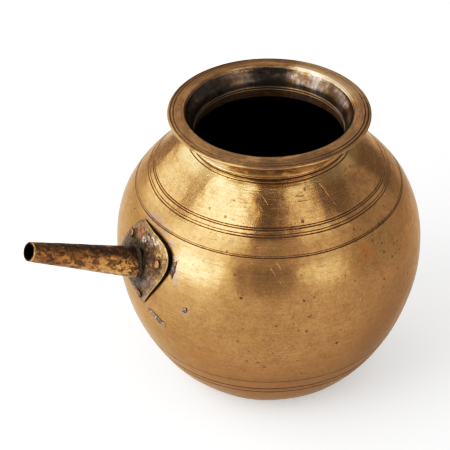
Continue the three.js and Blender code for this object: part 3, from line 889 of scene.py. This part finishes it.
def oval(across, up, half_width, half_height, lean, seed):
    angle = full_circle(LUMP_STEPS)
    size = 1 - LUMP_ROUGH * squashed(uneven_round(seed, angle, LUMP_WAVES))
    x, y = half_width * size * np.cos(angle), half_height * size * np.sin(angle)
    turn = math.radians(lean)
    return np.stack([
        across + x * math.cos(turn) - y * math.sin(turn),
        up + x * math.sin(turn) + y * math.cos(turn),
    ], axis=1)


# A lump's coat: how near its edge, where the solder thins out.
def lump_coat(shares, toward):
    return np.stack(np.broadcast_arrays(0.0, shares + 0 * toward[None, :, 0], 0.0), axis=-1)


def solder_lump(name, across, up, half_width, half_height, height, lean, seed, face=None):
    outline = oval(across, up, half_width, half_height, lean, seed)

    def under(x, y):
        return (face(x, y) if face else 0) + LUMP_SEAT + 0 * x

    def top(x, y, share):
        bumps = 0.7 + 0.3 * np.tanh(1.5 * ripple(seed, x, y, *LUMP_BUMPS))
        return under(x, y) + LUMP_SEAT + (height + SOLDER_GAP) * bumps * (1 - share**1.6)

    return sheet_piece(name, (across, up), outline, 18, top, under, 0.1, lump_coat)


# The spout's own frame

TILT = math.radians(SPOUT_TILT)
SPOUT_AXIS = np.array([math.cos(TILT), 0, math.sin(TILT)])
SPOUT_UP = np.array([-math.sin(TILT), 0, math.cos(TILT)])
SPOUT_SIDE = np.array([0.0, 1, 0])
SPOUT_FOOT = seat(0, 0)[0]


def tube_radius(along):
    return SPOUT_FOOT_RADIUS + (SPOUT_TIP_RADIUS - SPOUT_FOOT_RADIUS) * along / SPOUT_LENGTH


def spout_place(along, radius, angle):
    along, radius, angle = np.broadcast_arrays(along, radius, angle)
    return (
        SPOUT_FOOT
        + along[..., None] * SPOUT_AXIS
        + (radius * np.cos(angle))[..., None] * SPOUT_UP
        + (radius * np.sin(angle))[..., None] * SPOUT_SIDE
    )


# The tube's outer radius, slightly uneven.
def pipe_outside(along, angle):
    draw = np.random.default_rng(PIPE_SEED)
    uneven = 0
    for around in PIPE_WAVES:
        rise = 2 * np.pi / draw.uniform(*PIPE_WAVE_LENGTHS)
        size = draw.uniform(0.3, 1)
        uneven = uneven + size * np.sin(around * angle + rise * along + draw.uniform(0, WAVE_START))
    return tube_radius(along) - PIPE_UNEVEN * squashed(uneven)


def spout_pipe():
    angle = full_circle(PIPE_STEPS)[None, :]
    outer = np.linspace(-SPOUT_INSERT, SPOUT_LENGTH - MOUTH_ROUND, 110)[:, None]
    inner = np.linspace(SPOUT_LENGTH - MOUTH_ROUND, -SPOUT_INSERT, 60)[:, None]
    mouth = np.linspace(MOUTH_START, np.pi - MOUTH_START, 7)[:, None]
    mouth_middle = SPOUT_TIP_RADIUS - SPOUT_WALL / 2 - 0.06
    mouth_radius = mouth_middle + (SPOUT_WALL / 2 - MOUTH_THIN) * np.cos(mouth)
    mouth_along = SPOUT_LENGTH - 0.42 + 0.4 * np.sin(mouth)
    along = np.concatenate([part + 0 * angle for part in (outer, mouth_along, inner)])
    inside = tube_radius(inner) - SPOUT_WALL
    radius = np.concatenate([pipe_outside(outer, angle), mouth_radius + 0 * angle, inside + 0 * angle])
    points = spout_place(along, radius, angle)
    coat = np.zeros(points.shape)
    mouth_start = len(outer)
    mouth_end = mouth_start + len(mouth)
    coat[mouth_end:, :, 1] = 1
    coat[mouth_start + 2:mouth_end, :, 1] = 0.7
    coat[mouth_start - 1:mouth_start + 2, :, 2] = 0.8
    local = np.stack([along, radius * np.cos(angle), radius * np.sin(angle)], axis=-1)
    faces = grid_faces(*points.shape[:2], close_rows=True)
    return new_mesh("spout_pipe", points, faces, [("turned", local * MM), ("coat", coat)])


# Height above the plate's top of points near the spout's foot.
def over_plate(points):
    reach = np.hypot(points[..., 0], points[..., 1])
    along = along_at(points[..., 2])
    for _ in range(NEAREST_STEPS):
        radius, wall_height, normal_r, normal_z = wall_at(along)
        height = (reach - radius) * normal_r + (points[..., 2] - wall_height) * normal_z
        along = along_at(points[..., 2] - height * normal_z)
    radius, wall_height, _, _ = wall_at(along)
    across = np.arctan2(points[..., 1], points[..., 0]) * radius
    return height - plate_under(across, wall_height - SPOUT_HEIGHT) - PLATE_THICKNESS


# Distance along the tube at which it stands a gap above the plate.
def along_on_plate(radius, angle, gap):
    low = np.full(angle.shape, -float(SPOUT_INSERT))
    high = np.full(angle.shape, 3.0 * SPOUT_INSERT)
    for _ in range(SEARCH_STEPS):
        middle = (low + high) / 2
        below = over_plate(spout_place(middle, radius, angle)) < gap
        low = np.where(below, middle, low)
        high = np.where(below, high, middle)
    return high


def spout_fillet():
    angle = full_circle(PIPE_STEPS)
    uneven = uneven_round(FILLET_SEED, angle, FILLET_WAVES)
    reach = FILLET_REACH * (0.75 + 0.25 * np.tanh(uneven))
    rise = FILLET_RISE * (0.7 + 0.3 * np.tanh(np.roll(uneven, 9)))
    inner = tube_radius(0) - FILLET_SINK
    heel = along_on_plate(np.full(PIPE_STEPS, inner), angle, 0.02)
    rings = [spout_place(heel, inner, angle)]
    for share in np.linspace(1, 0, 9):
        radius = inner + 0.2 + reach * share**FILLET_CURVE
        foot = along_on_plate(radius, angle, 0.03)
        rings.append(spout_place(foot + rise * (1 - share) ** FILLET_CURVE, radius, angle))
    rings.append(spout_place(heel + rise * 0.9, inner, angle))
    points = np.stack(rings)
    tarnish = np.broadcast_to([1.0, 0, 0], points.shape)
    faces = grid_faces(*points.shape[:2], close_rows=True)
    return new_mesh("spout_fillet", points, faces, [("coat", tarnish)])


# One rivet: domed head on the plate, shank through plate and wall, peened tail inside.
def rivet(name, across, up, seed):
    point, normal = seat(across, up)
    foot = float(plate_top(across, up))
    tail = -WALL - RIVET_CLEARANCE
    outline = [(RIVET_HEAD_RADIUS * r, tail - RIVET_HEAD_HEIGHT * h) for r, h in reversed(DOME)]
    outline += [(RIVET_RADIUS, tail), (RIVET_RADIUS, foot - 0.1)]
    outline += [(RIVET_HEAD_RADIUS * r, foot + RIVET_HEAD_WORN * RIVET_HEAD_HEIGHT * h) for r, h in DOME]
    angle = full_circle(RIVET_STEPS)
    size = 1 - RIVET_ROUGH * squashed(uneven_round(seed, angle, RIVET_WAVES))
    turn = Vector((0, 0, 1)).rotation_difference(Vector(normal)).to_matrix()
    side, other = np.array(turn @ Vector((1, 0, 0))), np.array(turn @ Vector((0, 1, 0)))
    spread = np.outer(size * np.cos(angle), side) + np.outer(size * np.sin(angle), other)
    points = np.stack([point + height * normal + radius * spread for radius, height in outline])
    return new_mesh(name, points, capped_faces(*points.shape[:2]))


# Shader nodes


# The node tree that is being made
making = SimpleNamespace(tree=None)


# Sets a socket from another socket, from a tone or from a plain value.
def join(value, socket):
    if isinstance(value, bpy.types.NodeSocket):
        making.tree.links.new(value, socket)
    elif socket.type == "RGBA":
        socket.default_value = (*value, 1)
    else:
        socket.default_value = value


def node(kind, inputs=None, **properties):
    made = making.tree.nodes.new(kind)
    for name, value in properties.items():
        setattr(made, name, value)
    for name, value in (inputs or {}).items():
        join(value, made.inputs[name])
    return made


def maths(kind, first, second):
    return node("ShaderNodeMath", {0: first, 1: second}, operation=kind).outputs[0]


def times(*values):
    return reduce(lambda first, second: maths("MULTIPLY", first, second), values)


def plus(*values):
    return reduce(lambda first, second: maths("ADD", first, second), values)


def vectors(kind, first, second, output="Vector"):
    return node("ShaderNodeVectorMath", {0: first, 1: second}, operation=kind).outputs[output]


def scaled(vector, scale):
    return node("ShaderNodeVectorMath", {0: vector, "Scale": scale}, operation="SCALE").outputs[0]


def blend(factor, first, second):
    return node("ShaderNodeMix", {0: factor, 6: first, 7: second}, data_type="RGBA").outputs[2]


def ranged(value, low, high, to_low=0.0, to_high=1.0):
    inputs = {"Value": value, "From Min": low, "From Max": high, "To Min": to_low, "To Max": to_high}
    return node("ShaderNodeMapRange", inputs, interpolation_type="SMOOTHSTEP").outputs["Result"]


def clamped(value):
    return node("ShaderNodeClamp", {"Value": value}).outputs[0]


def object_place():
    return node("ShaderNodeTexCoord").outputs["Object"]


def attribute(name):
    return node("ShaderNodeAttribute", attribute_name=name).outputs["Vector"]


def parts_of(vector):
    return node("ShaderNodeSeparateXYZ", {0: vector}).outputs


def stretched(place, scale, turn=(0, 0, 0)):
    return node("ShaderNodeMapping", {"Vector": place, "Scale": scale, "Rotation": turn}).outputs[0]


# Tones laid over a colour, each where its mask is, by a share.
def layered(color, *layers):
    for mask, share, tone in layers:
        color = blend(mask if share == 1 else times(mask, share), color, tone)
    return color


# A total with a share of each mask added.
def summed(total, *parts):
    for mask, share in parts:
        total = plus(total, times(mask, share))
    return total


# Bumps one over another: height, strength and depth. A depth under zero is sunk.
def relief(*bumps):
    normal = None
    for height, strength, depth in bumps:
        inputs = {"Height": height, "Strength": strength, "Distance": abs(depth) * MM}
        if normal:
            inputs["Normal"] = normal
        normal = node("ShaderNodeBump", inputs, invert=depth < 0).outputs[0]
    return normal


# A change between two places in millimetres.
def fade(length, ends, low=0.0, high=1.0):
    return ranged(length, ends[0] * MM, ends[1] * MM, low, high)


# A mask over a zone that has a soft foot and a soft top.
def between(height, zone):
    return times(*(fade(height, ends) for ends in zone))


# A mask from noise: 0 under low, 1 over high. Three scales stretch the noise.
def patches(place, scale, low, high, seed, detail, rough=0.55, bend=0.0):
    if isinstance(scale, tuple):
        place = stretched(place, scale)
        scale = 1
    inputs = {"Vector": place, "Scale": scale, "W": seed}
    inputs |= {"Detail": detail, "Roughness": rough, "Distortion": bend}
    made = node("ShaderNodeTexNoise", inputs, noise_dimensions="4D")
    return ranged(made.outputs["Fac"], low, high)


# The masks of a noise table, by name.
def masks(place, table):
    return {name: patches(place, *recipe) for name, recipe in table.items()}


# The place moved about by noise, so that spots get ragged edges.
def ragged(place, scale, reach):
    wobble = node("ShaderNodeTexNoise", {"Vector": place, "Scale": scale, "Detail": 3.0}).outputs["Color"]
    wobble = vectors("ADD", wobble, (-0.5, -0.5, -0.5))
    return vectors("ADD", place, scaled(wobble, reach * MM))


# Distance round the pot from the spout's line, and along its wall, from the turned attribute.
def unrolled(turned):
    parts = parts_of(turned)
    around = times(maths("ARCTAN2", parts[1], parts[0]), BELLY_RADIUS * MM)
    return node("ShaderNodeCombineXYZ", {0: around, 1: parts[2]}).outputs[0]


# Long thin scratches at one slope over the unrolled wall.
def hairlines(flat, slope, low, seed):
    run = stretched(flat, HAIRLINE_STRETCH, (0, 0, math.radians(slope)))
    return patches(run, 1, low, low + HAIRLINE_EDGE, seed, 2)


# Thin straight marks over the unrolled wall, between two places given by turn and height.
def strokes(flat, places):
    total = 0.0
    for turn, height, end_turn, end_height, half_width in places:
        first = Vector((math.radians(turn) * BELLY_RADIUS, along_at(height), 0)) * MM
        last = Vector((math.radians(end_turn) * BELLY_RADIUS, along_at(end_height), 0)) * MM
        run = last - first
        away = vectors("ADD", flat, -first)
        share = clamped(vectors("DOT_PRODUCT", away, run / run.length_squared, "Value"))
        nearest = scaled(tuple(run), share)
        far = vectors("DISTANCE", away, nearest, "Value")
        stroke = fade(far, (STROKE_EDGE * half_width, STROKE_CORE * half_width))
        total = maths("MAXIMUM", stroke, total)
    return total


# A round spot: nothing at one distance from its centre, and full at another.
def spot(place, centre, ends):
    far = vectors("DISTANCE", place, tuple(float(v) * MM for v in centre), "Value")
    return fade(far, ends)


# A soft-edged spot round each point.
def marks(place, points):
    total = 0.0
    for centre, size in points:
        total = maths("MAXIMUM", spot(place, centre, (size, SPOT_CORE * size)), total)
    return total


def round_points(turns, radius, height, size):
    return [(on_circle(radius, math.radians(turn), height), size) for turn in turns]


def wall_points(places):
    found = []
    for turn, height, size in places:
        radius = wall_at(along_at(height))[0]
        found.append((on_circle(radius, math.radians(turn), height), size))
    return found


def spout_points(places, lift=0.0):
    return [(above(across, up, lift), size) for across, up, size in places]


# Places under the plate's lifted right edge, where a painted shadow darkens the wall.
def plate_edge_shadow():
    outline = plate_outline(EDGE_SHADOW_STEPS)
    right = (outline - PLATE_TOP_CORNER) @ PLATE_RIGHTWARD
    return [(across, up, EDGE_SHADOW_SIZE) for across, up in outline[right > EDGE_SHADOW_START]]


# Small pits over the unrolled wall: one to a cell, most cells left bare.
def pitting(flat, scale, size, share):
    cells = node("ShaderNodeTexVoronoi", {"Vector": flat, "Scale": scale}, voronoi_dimensions="2D")
    chance = parts_of(cells.outputs["Color"])
    kept = ranged(chance[0], 1 - share, 1 - share + 0.02)
    reach = times(chance[1], size)
    return times(maths("LESS_THAN", cells.outputs["Distance"], reach), kept)


# Materials


def new_material(name):
    material = bpy.data.materials.new(name)
    material.use_nodes = True
    making.tree = material.node_tree
    return material


# Sets the inputs of a shader, with spaces in their names written as low lines.
def connect(shader, **inputs):
    for name, value in inputs.items():
        join(value, making.tree.nodes[shader].inputs[name.replace("_", " ")])


def dress(color, gloss, normal, metal=1, **others):
    connect("Principled BSDF", Base_Color=color, Roughness=gloss, Normal=normal, Metallic=metal, **others)


# Pits: single ones, scattered ones, and crowds where the wall is spoiled.
def all_pits(bent, flat):
    crowds = times(marks(bent, wall_points(SPOILED)), pitting(flat, *SPOILED_PITS))
    pits = summed(
        pitting(flat, *LARGE_PITS),
        (marks(bent, wall_points(PITS)), 0.85),
        (pitting(flat, *SMALL_PITS), 0.6),
        (crowds, 0.7),
    )
    return clamped(pits)


# Every mask that the vessel's colour, gloss and relief share.
def vessel_masks():
    place = object_place()
    turned = attribute("turned")
    m = SimpleNamespace(place=place, turned=turned)
    vars(m).update(masks(place, WALL_NOISE))
    vars(m).update(masks(turned, TURNED_NOISE))
    m.dirt, m.oxide, m.polish = parts_of(attribute("coat"))
    m.height = parts_of(place)[2]
    m.bent = ragged(place, *SPOT_EDGES)
    flat = unrolled(turned)
    bent_flat = ragged(flat, *PIT_EDGES)
    m.hairlines = plus(*(hairlines(flat, *line) for line in HAIRLINES))
    m.stains = marks(m.bent, wall_points(STAINS))
    m.haze = times(m.haze, marks(ragged(place, *HAZE_EDGES), spout_points(HAZE)))
    m.cracks = strokes(bent_flat, CRACKS)
    m.lines = times(m.broken_line, strokes(ragged(flat, *SCRATCH_BENDS), SCRATCHES))
    m.pits = all_pits(m.bent, bent_flat)
    m.under_lip = between(m.height, UNDER_LIP)
    m.deep = ranged(plus(m.oxide, ranged(m.mottle, 0, 1, -0.08, 0.08)), 0.6, 0.8)
    m.rust = times(m.rust, m.deep, between(m.height, RUST_STRIP))
    return m


def wall_color(m):
    # Darker low down and on the right side: painted shade, partly duller brass
    low_dull_and_shade = summed(fade(m.height, LOW_DULL_AND_SHADE), (marks(m.place, wall_points(DULL_AND_SHADED_SIDE)), 0.85))
    # Painted dark reflection on the shoulder, between the two highlights
    dark_reflection_band = marks(ragged(m.place, *BAND_EDGES), wall_points(DARK_REFLECTION_BAND))
    return layered(
        blend(m.clouds, BRASS_GOLD, BRASS_OLIVE),
        (m.mottle, 0.38, BRASS_BROWN),
        (m.red, 0.45, BRASS_ORANGE),
        (m.wear, 0.3, BRASS_BROWN),
        (m.dust, 0.35, BRASS_BROWN),
        (m.grain, 0.2, BRASS_PALE),
        (m.turning, 0.2, BRASS_BROWN),
        (m.hairlines, 0.5, BRASS_PALE),
        (m.stains, 0.6, BRASS_ORANGE),
        (m.haze, 0.75, LEAD_GREY),
        (m.cracks, 0.65, RUST_RED),
        (m.lines, 0.35, SCRATCH_GOLD),
        (m.pits, 0.7, GRIME_AND_SHADOW),
        # Painted shadow on the wall under the plate's lifted right edge
        (marks(m.place, spout_points(plate_edge_shadow())), 0.85, GRIME_AND_SHADOW),
        (low_dull_and_shade, 0.68, BRASS_DULL),
        (dark_reflection_band, 0.45, BRASS_SHADE),
        (between(m.height, NECK_FOOT), 0.5, FOOT_OLIVE),
    )


def lip_color(m):
    return layered(
        blend(m.rim, RIM_TAN, RIM_BROWN),
        (m.round_streaks, 0.75, RIM_STREAK),
        (patches(m.bent, *RIM_SMUDGES), 1, RIM_SMUDGE),
        # Painted highlight on the lip's right back; painted shade on its front right and left back
        (marks(m.bent, round_points(*LIP_HIGHLIGHT)), 0.75, RIM_HIGHLIGHT),
        (marks(m.bent, round_points(*LIP_SHADE)), 0.5, RIM_SHADE),
    )


def throat_color(m):
    streaks = patches(ragged(m.turned, *STREAK_BENDS), *THROAT_STREAKS)
    places = [(on_circle(THROAT_RADIUS, math.radians(turn), height), size) for turn, height, size in SOOT]
    soot = times(m.soot, marks(ragged(m.place, *SOOT_EDGES), places))
    # Near black below 144 to 149 mm, deeper into the pot
    soot = maths("MAXIMUM", soot, fade(m.height, DARKER_BELOW))
    return layered(
        blend(streaks, SMOKE_DARK, SMOKE_PALE),
        (m.ochre, 1, THROAT_OCHRE),
        (m.umber, 1, THROAT_UMBER),
        (soot, 0.85, SOOT_BLACK),
    )


# The wall, with the lip over it, the flare under the lip with a painted highlight on its left front, the
# throat, and dirt and polish over all.
def vessel_color(m):
    flare_painted_highlight = times(m.under_lip, marks(m.bent, round_points(*FLARE_PAINTED_HIGHLIGHT)))
    return layered(
        wall_color(m),
        (ranged(m.oxide, 0.05, 0.7), 1, lip_color(m)),
        (m.under_lip, 0.4, FLARE_GOLD),
        # Painted highlight on the flare's left front
        (flare_painted_highlight, 0.75, FLARE_HIGHLIGHT_TONE),
        (times(m.under_lip, patches(m.bent, *OLIVE_MOTTLE)), 0.75, FLARE_OLIVE),
        (m.deep, 1, throat_color(m)),
        (m.rust, 1, RUST_BROWN),
        (times(m.dirt, ranged(m.broken_grime, 0, 1, 0.5, 0.95)), 1, GRIME_AND_SHADOW),
        (times(m.polish, ranged(m.deep, 0, 1, 0.12, 0.5)), 1, BRASS_PALE),
    )


def vessel_gloss(m):
    on_rim = ranged(m.oxide, 0.05, 0.4)
    return summed(
        plus(ranged(m.clouds, 0, 1, 0.17, 0.22), fade(m.height, LOW_GLOSS, 0, 0.13)),
        (between(m.height, BAND), 0.12),
        (plus(m.mottle, m.wear), 0.04),
        (m.brushed, 0.03),
        (m.dirt, 0.3),
        (on_rim, ranged(m.round_streaks, 0, 1, 0.08, 0.2)),
        (m.under_lip, 0.2),
        (m.deep, -0.15),
        (m.rust, 0.25),
        (plus(m.pits, m.haze), 0.2),
    )


# The throat and its rust are less metallic than the wall.
def vessel_metal(m):
    foot = fade(m.height, THROAT_DULL_FOOT)
    top = fade(m.height, THROAT_DULL_TOP, 0.08, 0.6)
    return ranged(maths("MAXIMUM", times(m.deep, foot, top), m.rust), 0, 1, 1, 0.2)


def vessel_brass():
    material = new_material("aged_brass")
    m = vessel_masks()
    surface = relief(
        (m.ripples, 1.0, 0.6),
        (m.mottle, 0.5, 0.04),
        (m.brushed, 0.4, 0.02),
        (m.turning, 0.8, 0.03),
        (m.wear, 0.5, 0.015),
        (plus(m.pits, m.lines, m.hairlines, m.cracks), 0.7, -0.15),
    )
    dress(vessel_color(m), vessel_gloss(m), surface, vessel_metal(m), Specular_Tint=SHEEN, **LACQUER)
    return material


def spout_brass():
    material = new_material("dark_brass")
    local = attribute("turned")
    _, inside, polish = parts_of(attribute("coat"))
    along, upward, _ = parts_of(local)
    m = SimpleNamespace(**masks(local, PIPE_NOISE), **masks(object_place(), PIPE_PLACE_NOISE))
    bands = plus(fade(upward, PIPE_BAND_ABOVE), fade(upward, PIPE_BAND_BELOW, 0, 0.7))
    bands = times(bands, m.broken_band)
    color = layered(
        blend(m.clouds, PIPE_OCHRE, PIPE_BROWN),
        (fade(along, PIPE_GOLD_ALONG, 0, 0.75), 1, PIPE_GOLD),
        (m.blotches, 0.72, PIPE_DARK),
        (m.worn, 0.6, PIPE_WORN),
        (times(m.specks, fade(along, PIPE_SPECKS_ALONG, 0.3, 0.85)), 1, PIPE_SPECK),
        (bands, 0.85, PIPE_BAND),
        (times(polish, m.broken_edge), 1, PIPE_EDGE),
        (inside, 1, PIPE_INSIDE),
    )
    gloss = summed(ranged(m.blotches, 0, 1, 0.36, 0.55), (bands, 0.1))
    dress(color, gloss, relief((m.clouds, 0.6, 0.3), (m.blotches, 0.5, 0.25)))
    return material


def plate_brass():
    material = new_material("patched_brass")
    place = object_place()
    edge, right_side, sharp_edge = parts_of(attribute("coat"))
    m = SimpleNamespace(**masks(place, PLATE_NOISE))
    bent = ragged(place, *PLATE_EDGES)
    lift = float(plate_top(*PLATE_MIDDLE))

    def marked(places):
        return marks(bent, spout_points(places, lift))

    rings = marked([(across, up, RIVET_SOOT * RIVET_HEAD_RADIUS) for across, up in RIVETS.values()])
    # Round the tube's foot: painted shade in the crease, with soot; round the rivets: soot
    soot = maths("MAXIMUM", spot(bent, above(0, 0, lift), FOOT_SHADE_AND_SOOT), rings)
    gold = times(ranged(edge, 0.84, 0.95), right_side)
    grey = times(marked(SOLDER_SPECKLE), m.speckle)
    rough = plus(m.grime, grey)
    color = layered(
        blend(m.clouds, PLATE_TAN, PLATE_BROWN),
        (m.grime, 0.7, PLATE_GRIME),
        (soot, 0.85, PLATE_SOOT_AND_SHADE),
        (gold, 0.45, PLATE_GOLD),
        (marked(RED_PATCHES), 0.8, PLATE_RED),
        (marked(MAUVE_PATCHES), 0.8, PLATE_MAUVE),
        (times(m.specks, ranged(gold, 0, 1, 0.7, 0.35)), 1, PLATE_SPECK),
        (grey, 1, PLATE_GREY),
        (sharp_edge, 0.6, PLATE_EDGE),
    )
    dress(color, ranged(rough, 0, 1, 0.38, 0.56), relief((m.clouds, 0.8, 0.5), (rough, 0.6, 0.3)))
    return material


def rivet_brass():
    material = new_material("hammered_brass")
    place = object_place()
    m = SimpleNamespace(**masks(place, RIVET_NOISE))
    color = layered(
        blend(m.clouds, RIVET_TAN, RIVET_BROWN),
        (marks(place, spout_points(RED_PATCHES, RIVET_LIFT)), 0.7, RIVET_RED),
        (m.specks, 0.5, RIVET_SPECK),
    )
    dress(color, ranged(m.clouds, 0, 1, 0.28, 0.45), relief((m.clouds, 0.5, 0.3)))
    return material


def solder():
    material = new_material("soft_solder")
    tarnish, thin, _ = parts_of(attribute("coat"))
    m = SimpleNamespace(**masks(object_place(), SOLDER_NOISE))
    color = layered(
        blend(m.clouds, SOLDER_PALE, SOLDER_GREY),
        (ranged(thin, 0.4, 1), 0.85, SOLDER_THIN),
        (tarnish, 1, blend(m.clouds, SOLDER_AGED, SOLDER_AGED_TAN)),
        (m.specks, 0.7, SOLDER_SPECK),
    )
    dress(color, ranged(m.clouds, 0, 1, 0.35, 0.55), relief((m.clouds, 0.7, 0.4)))
    return material


# Assembly


brass = vessel_brass()
pipe_brass = spout_brass()
patch_brass = plate_brass()
head_brass = rivet_brass()
grey_solder = solder()

finish_piece(bowl_shell(), brass, "vessel_brass", "bowl")
finish_piece(shoulder_shell(), brass, "vessel_brass", "shoulder")
finish_piece(neck_ring(), brass, "vessel_brass", "neck_collar")
finish_piece(spout_pipe(), pipe_brass, "spout_brass", "spout_tube")
finish_piece(spout_patch(), patch_brass, "plate_brass", "spout_plate")
finish_piece(spout_fillet(), grey_solder, "solder", "spout_solder")
for number, (side, rivet_place) in enumerate(RIVETS.items()):
    head = rivet("rivet_head_" + side, *rivet_place, RIVET_SEED + number)
    finish_piece(head, head_brass, "rivet_brass", "rivet_" + side)
for lump_name, (solder_node, *lump) in SOLDER_LUMPS.items():
    face = plate_top if solder_node == "plate_solder" else None
    finish_piece(solder_lump(lump_name, *lump, face), grey_solder, "solder", solder_node)


# Floor, light and camera


def floor_plane():
    corners = FLOOR_REACH * np.array([(-1, -1, 0), (1, -1, 0), (1, 1, 0), (-1, 1, 0)])
    plane = new_mesh("floor", corners, [(0, 1, 2, 3)])
    plane.data.materials.append(new_material("pale_floor"))
    shine = {"Emission_Color": (1, 1, 1), "Emission_Strength": FLOOR_GLOW}
    connect("Principled BSDF", Base_Color=FLOOR_TONE, Roughness=FLOOR_ROUGHNESS, **shine)


# A soft panel that faces the pot: its direction, the angles it covers and its radiance.
def soft_panel(name, turn, elevation, wide, high, radiance):
    lamp = bpy.data.lights.new(name, "AREA")
    lamp.shape = "RECTANGLE"
    lamp.size = 2 * PANEL_DISTANCE * math.tan(math.radians(wide / 2)) * MM
    lamp.size_y = 2 * PANEL_DISTANCE * math.tan(math.radians(high / 2)) * MM
    lamp.energy = radiance * math.pi * lamp.size * lamp.size_y
    light = bpy.data.objects.new(name, lamp)
    a, e = math.radians(turn), math.radians(elevation)
    away = Vector((math.cos(a) * math.cos(e), math.sin(a) * math.cos(e), math.sin(e)))
    light.location = (away * PANEL_DISTANCE + Vector((0, 0, BELLY_HEIGHT))) * MM
    light.rotation_mode = "QUATERNION"
    light.rotation_quaternion = (-away).to_track_quat("-Z", "Y")
    light.visible_camera = False
    bpy.context.scene.collection.objects.link(light)


def studio():
    for name, panel in PANELS.items():
        soft_panel(name, *panel)
    world = bpy.data.worlds.new("studio")
    bpy.context.scene.world = world
    world.use_nodes = True
    making.tree = world.node_tree
    connect("Background", Color=(1, 1, 1), Strength=ROOM_LIGHT)


def camera():
    data = bpy.data.cameras.new("camera")
    data.lens = CAMERA_LENS
    data.sensor_width = CAMERA_FILM
    eye = bpy.data.objects.new("camera", data)
    bpy.context.scene.collection.objects.link(eye)
    place, aim = (Vector(p) * MM for p in (CAMERA_PLACE, CAMERA_AIM))
    eye.location = place
    eye.rotation_mode = "QUATERNION"
    look = (aim - place).to_track_quat("-Z", "Y")
    eye.rotation_quaternion = look @ Quaternion((0, 0, 1), math.radians(CAMERA_ROLL))
    bpy.context.scene.camera = eye


# How the camera turns light into tone: deep shades and soft highlights.
def camera_response():
    view = bpy.context.scene.view_settings
    view.view_transform = "Standard"
    view.use_curve_mapping = True
    view.curve_mapping.white_level = (WHITE_LIGHT, WHITE_LIGHT, WHITE_LIGHT)
    for light, tone in RESPONSE:
        view.curve_mapping.curves[3].points.new(light / WHITE_LIGHT, tone)
    view.curve_mapping.update()


floor_plane()
studio()
camera()
camera_response()
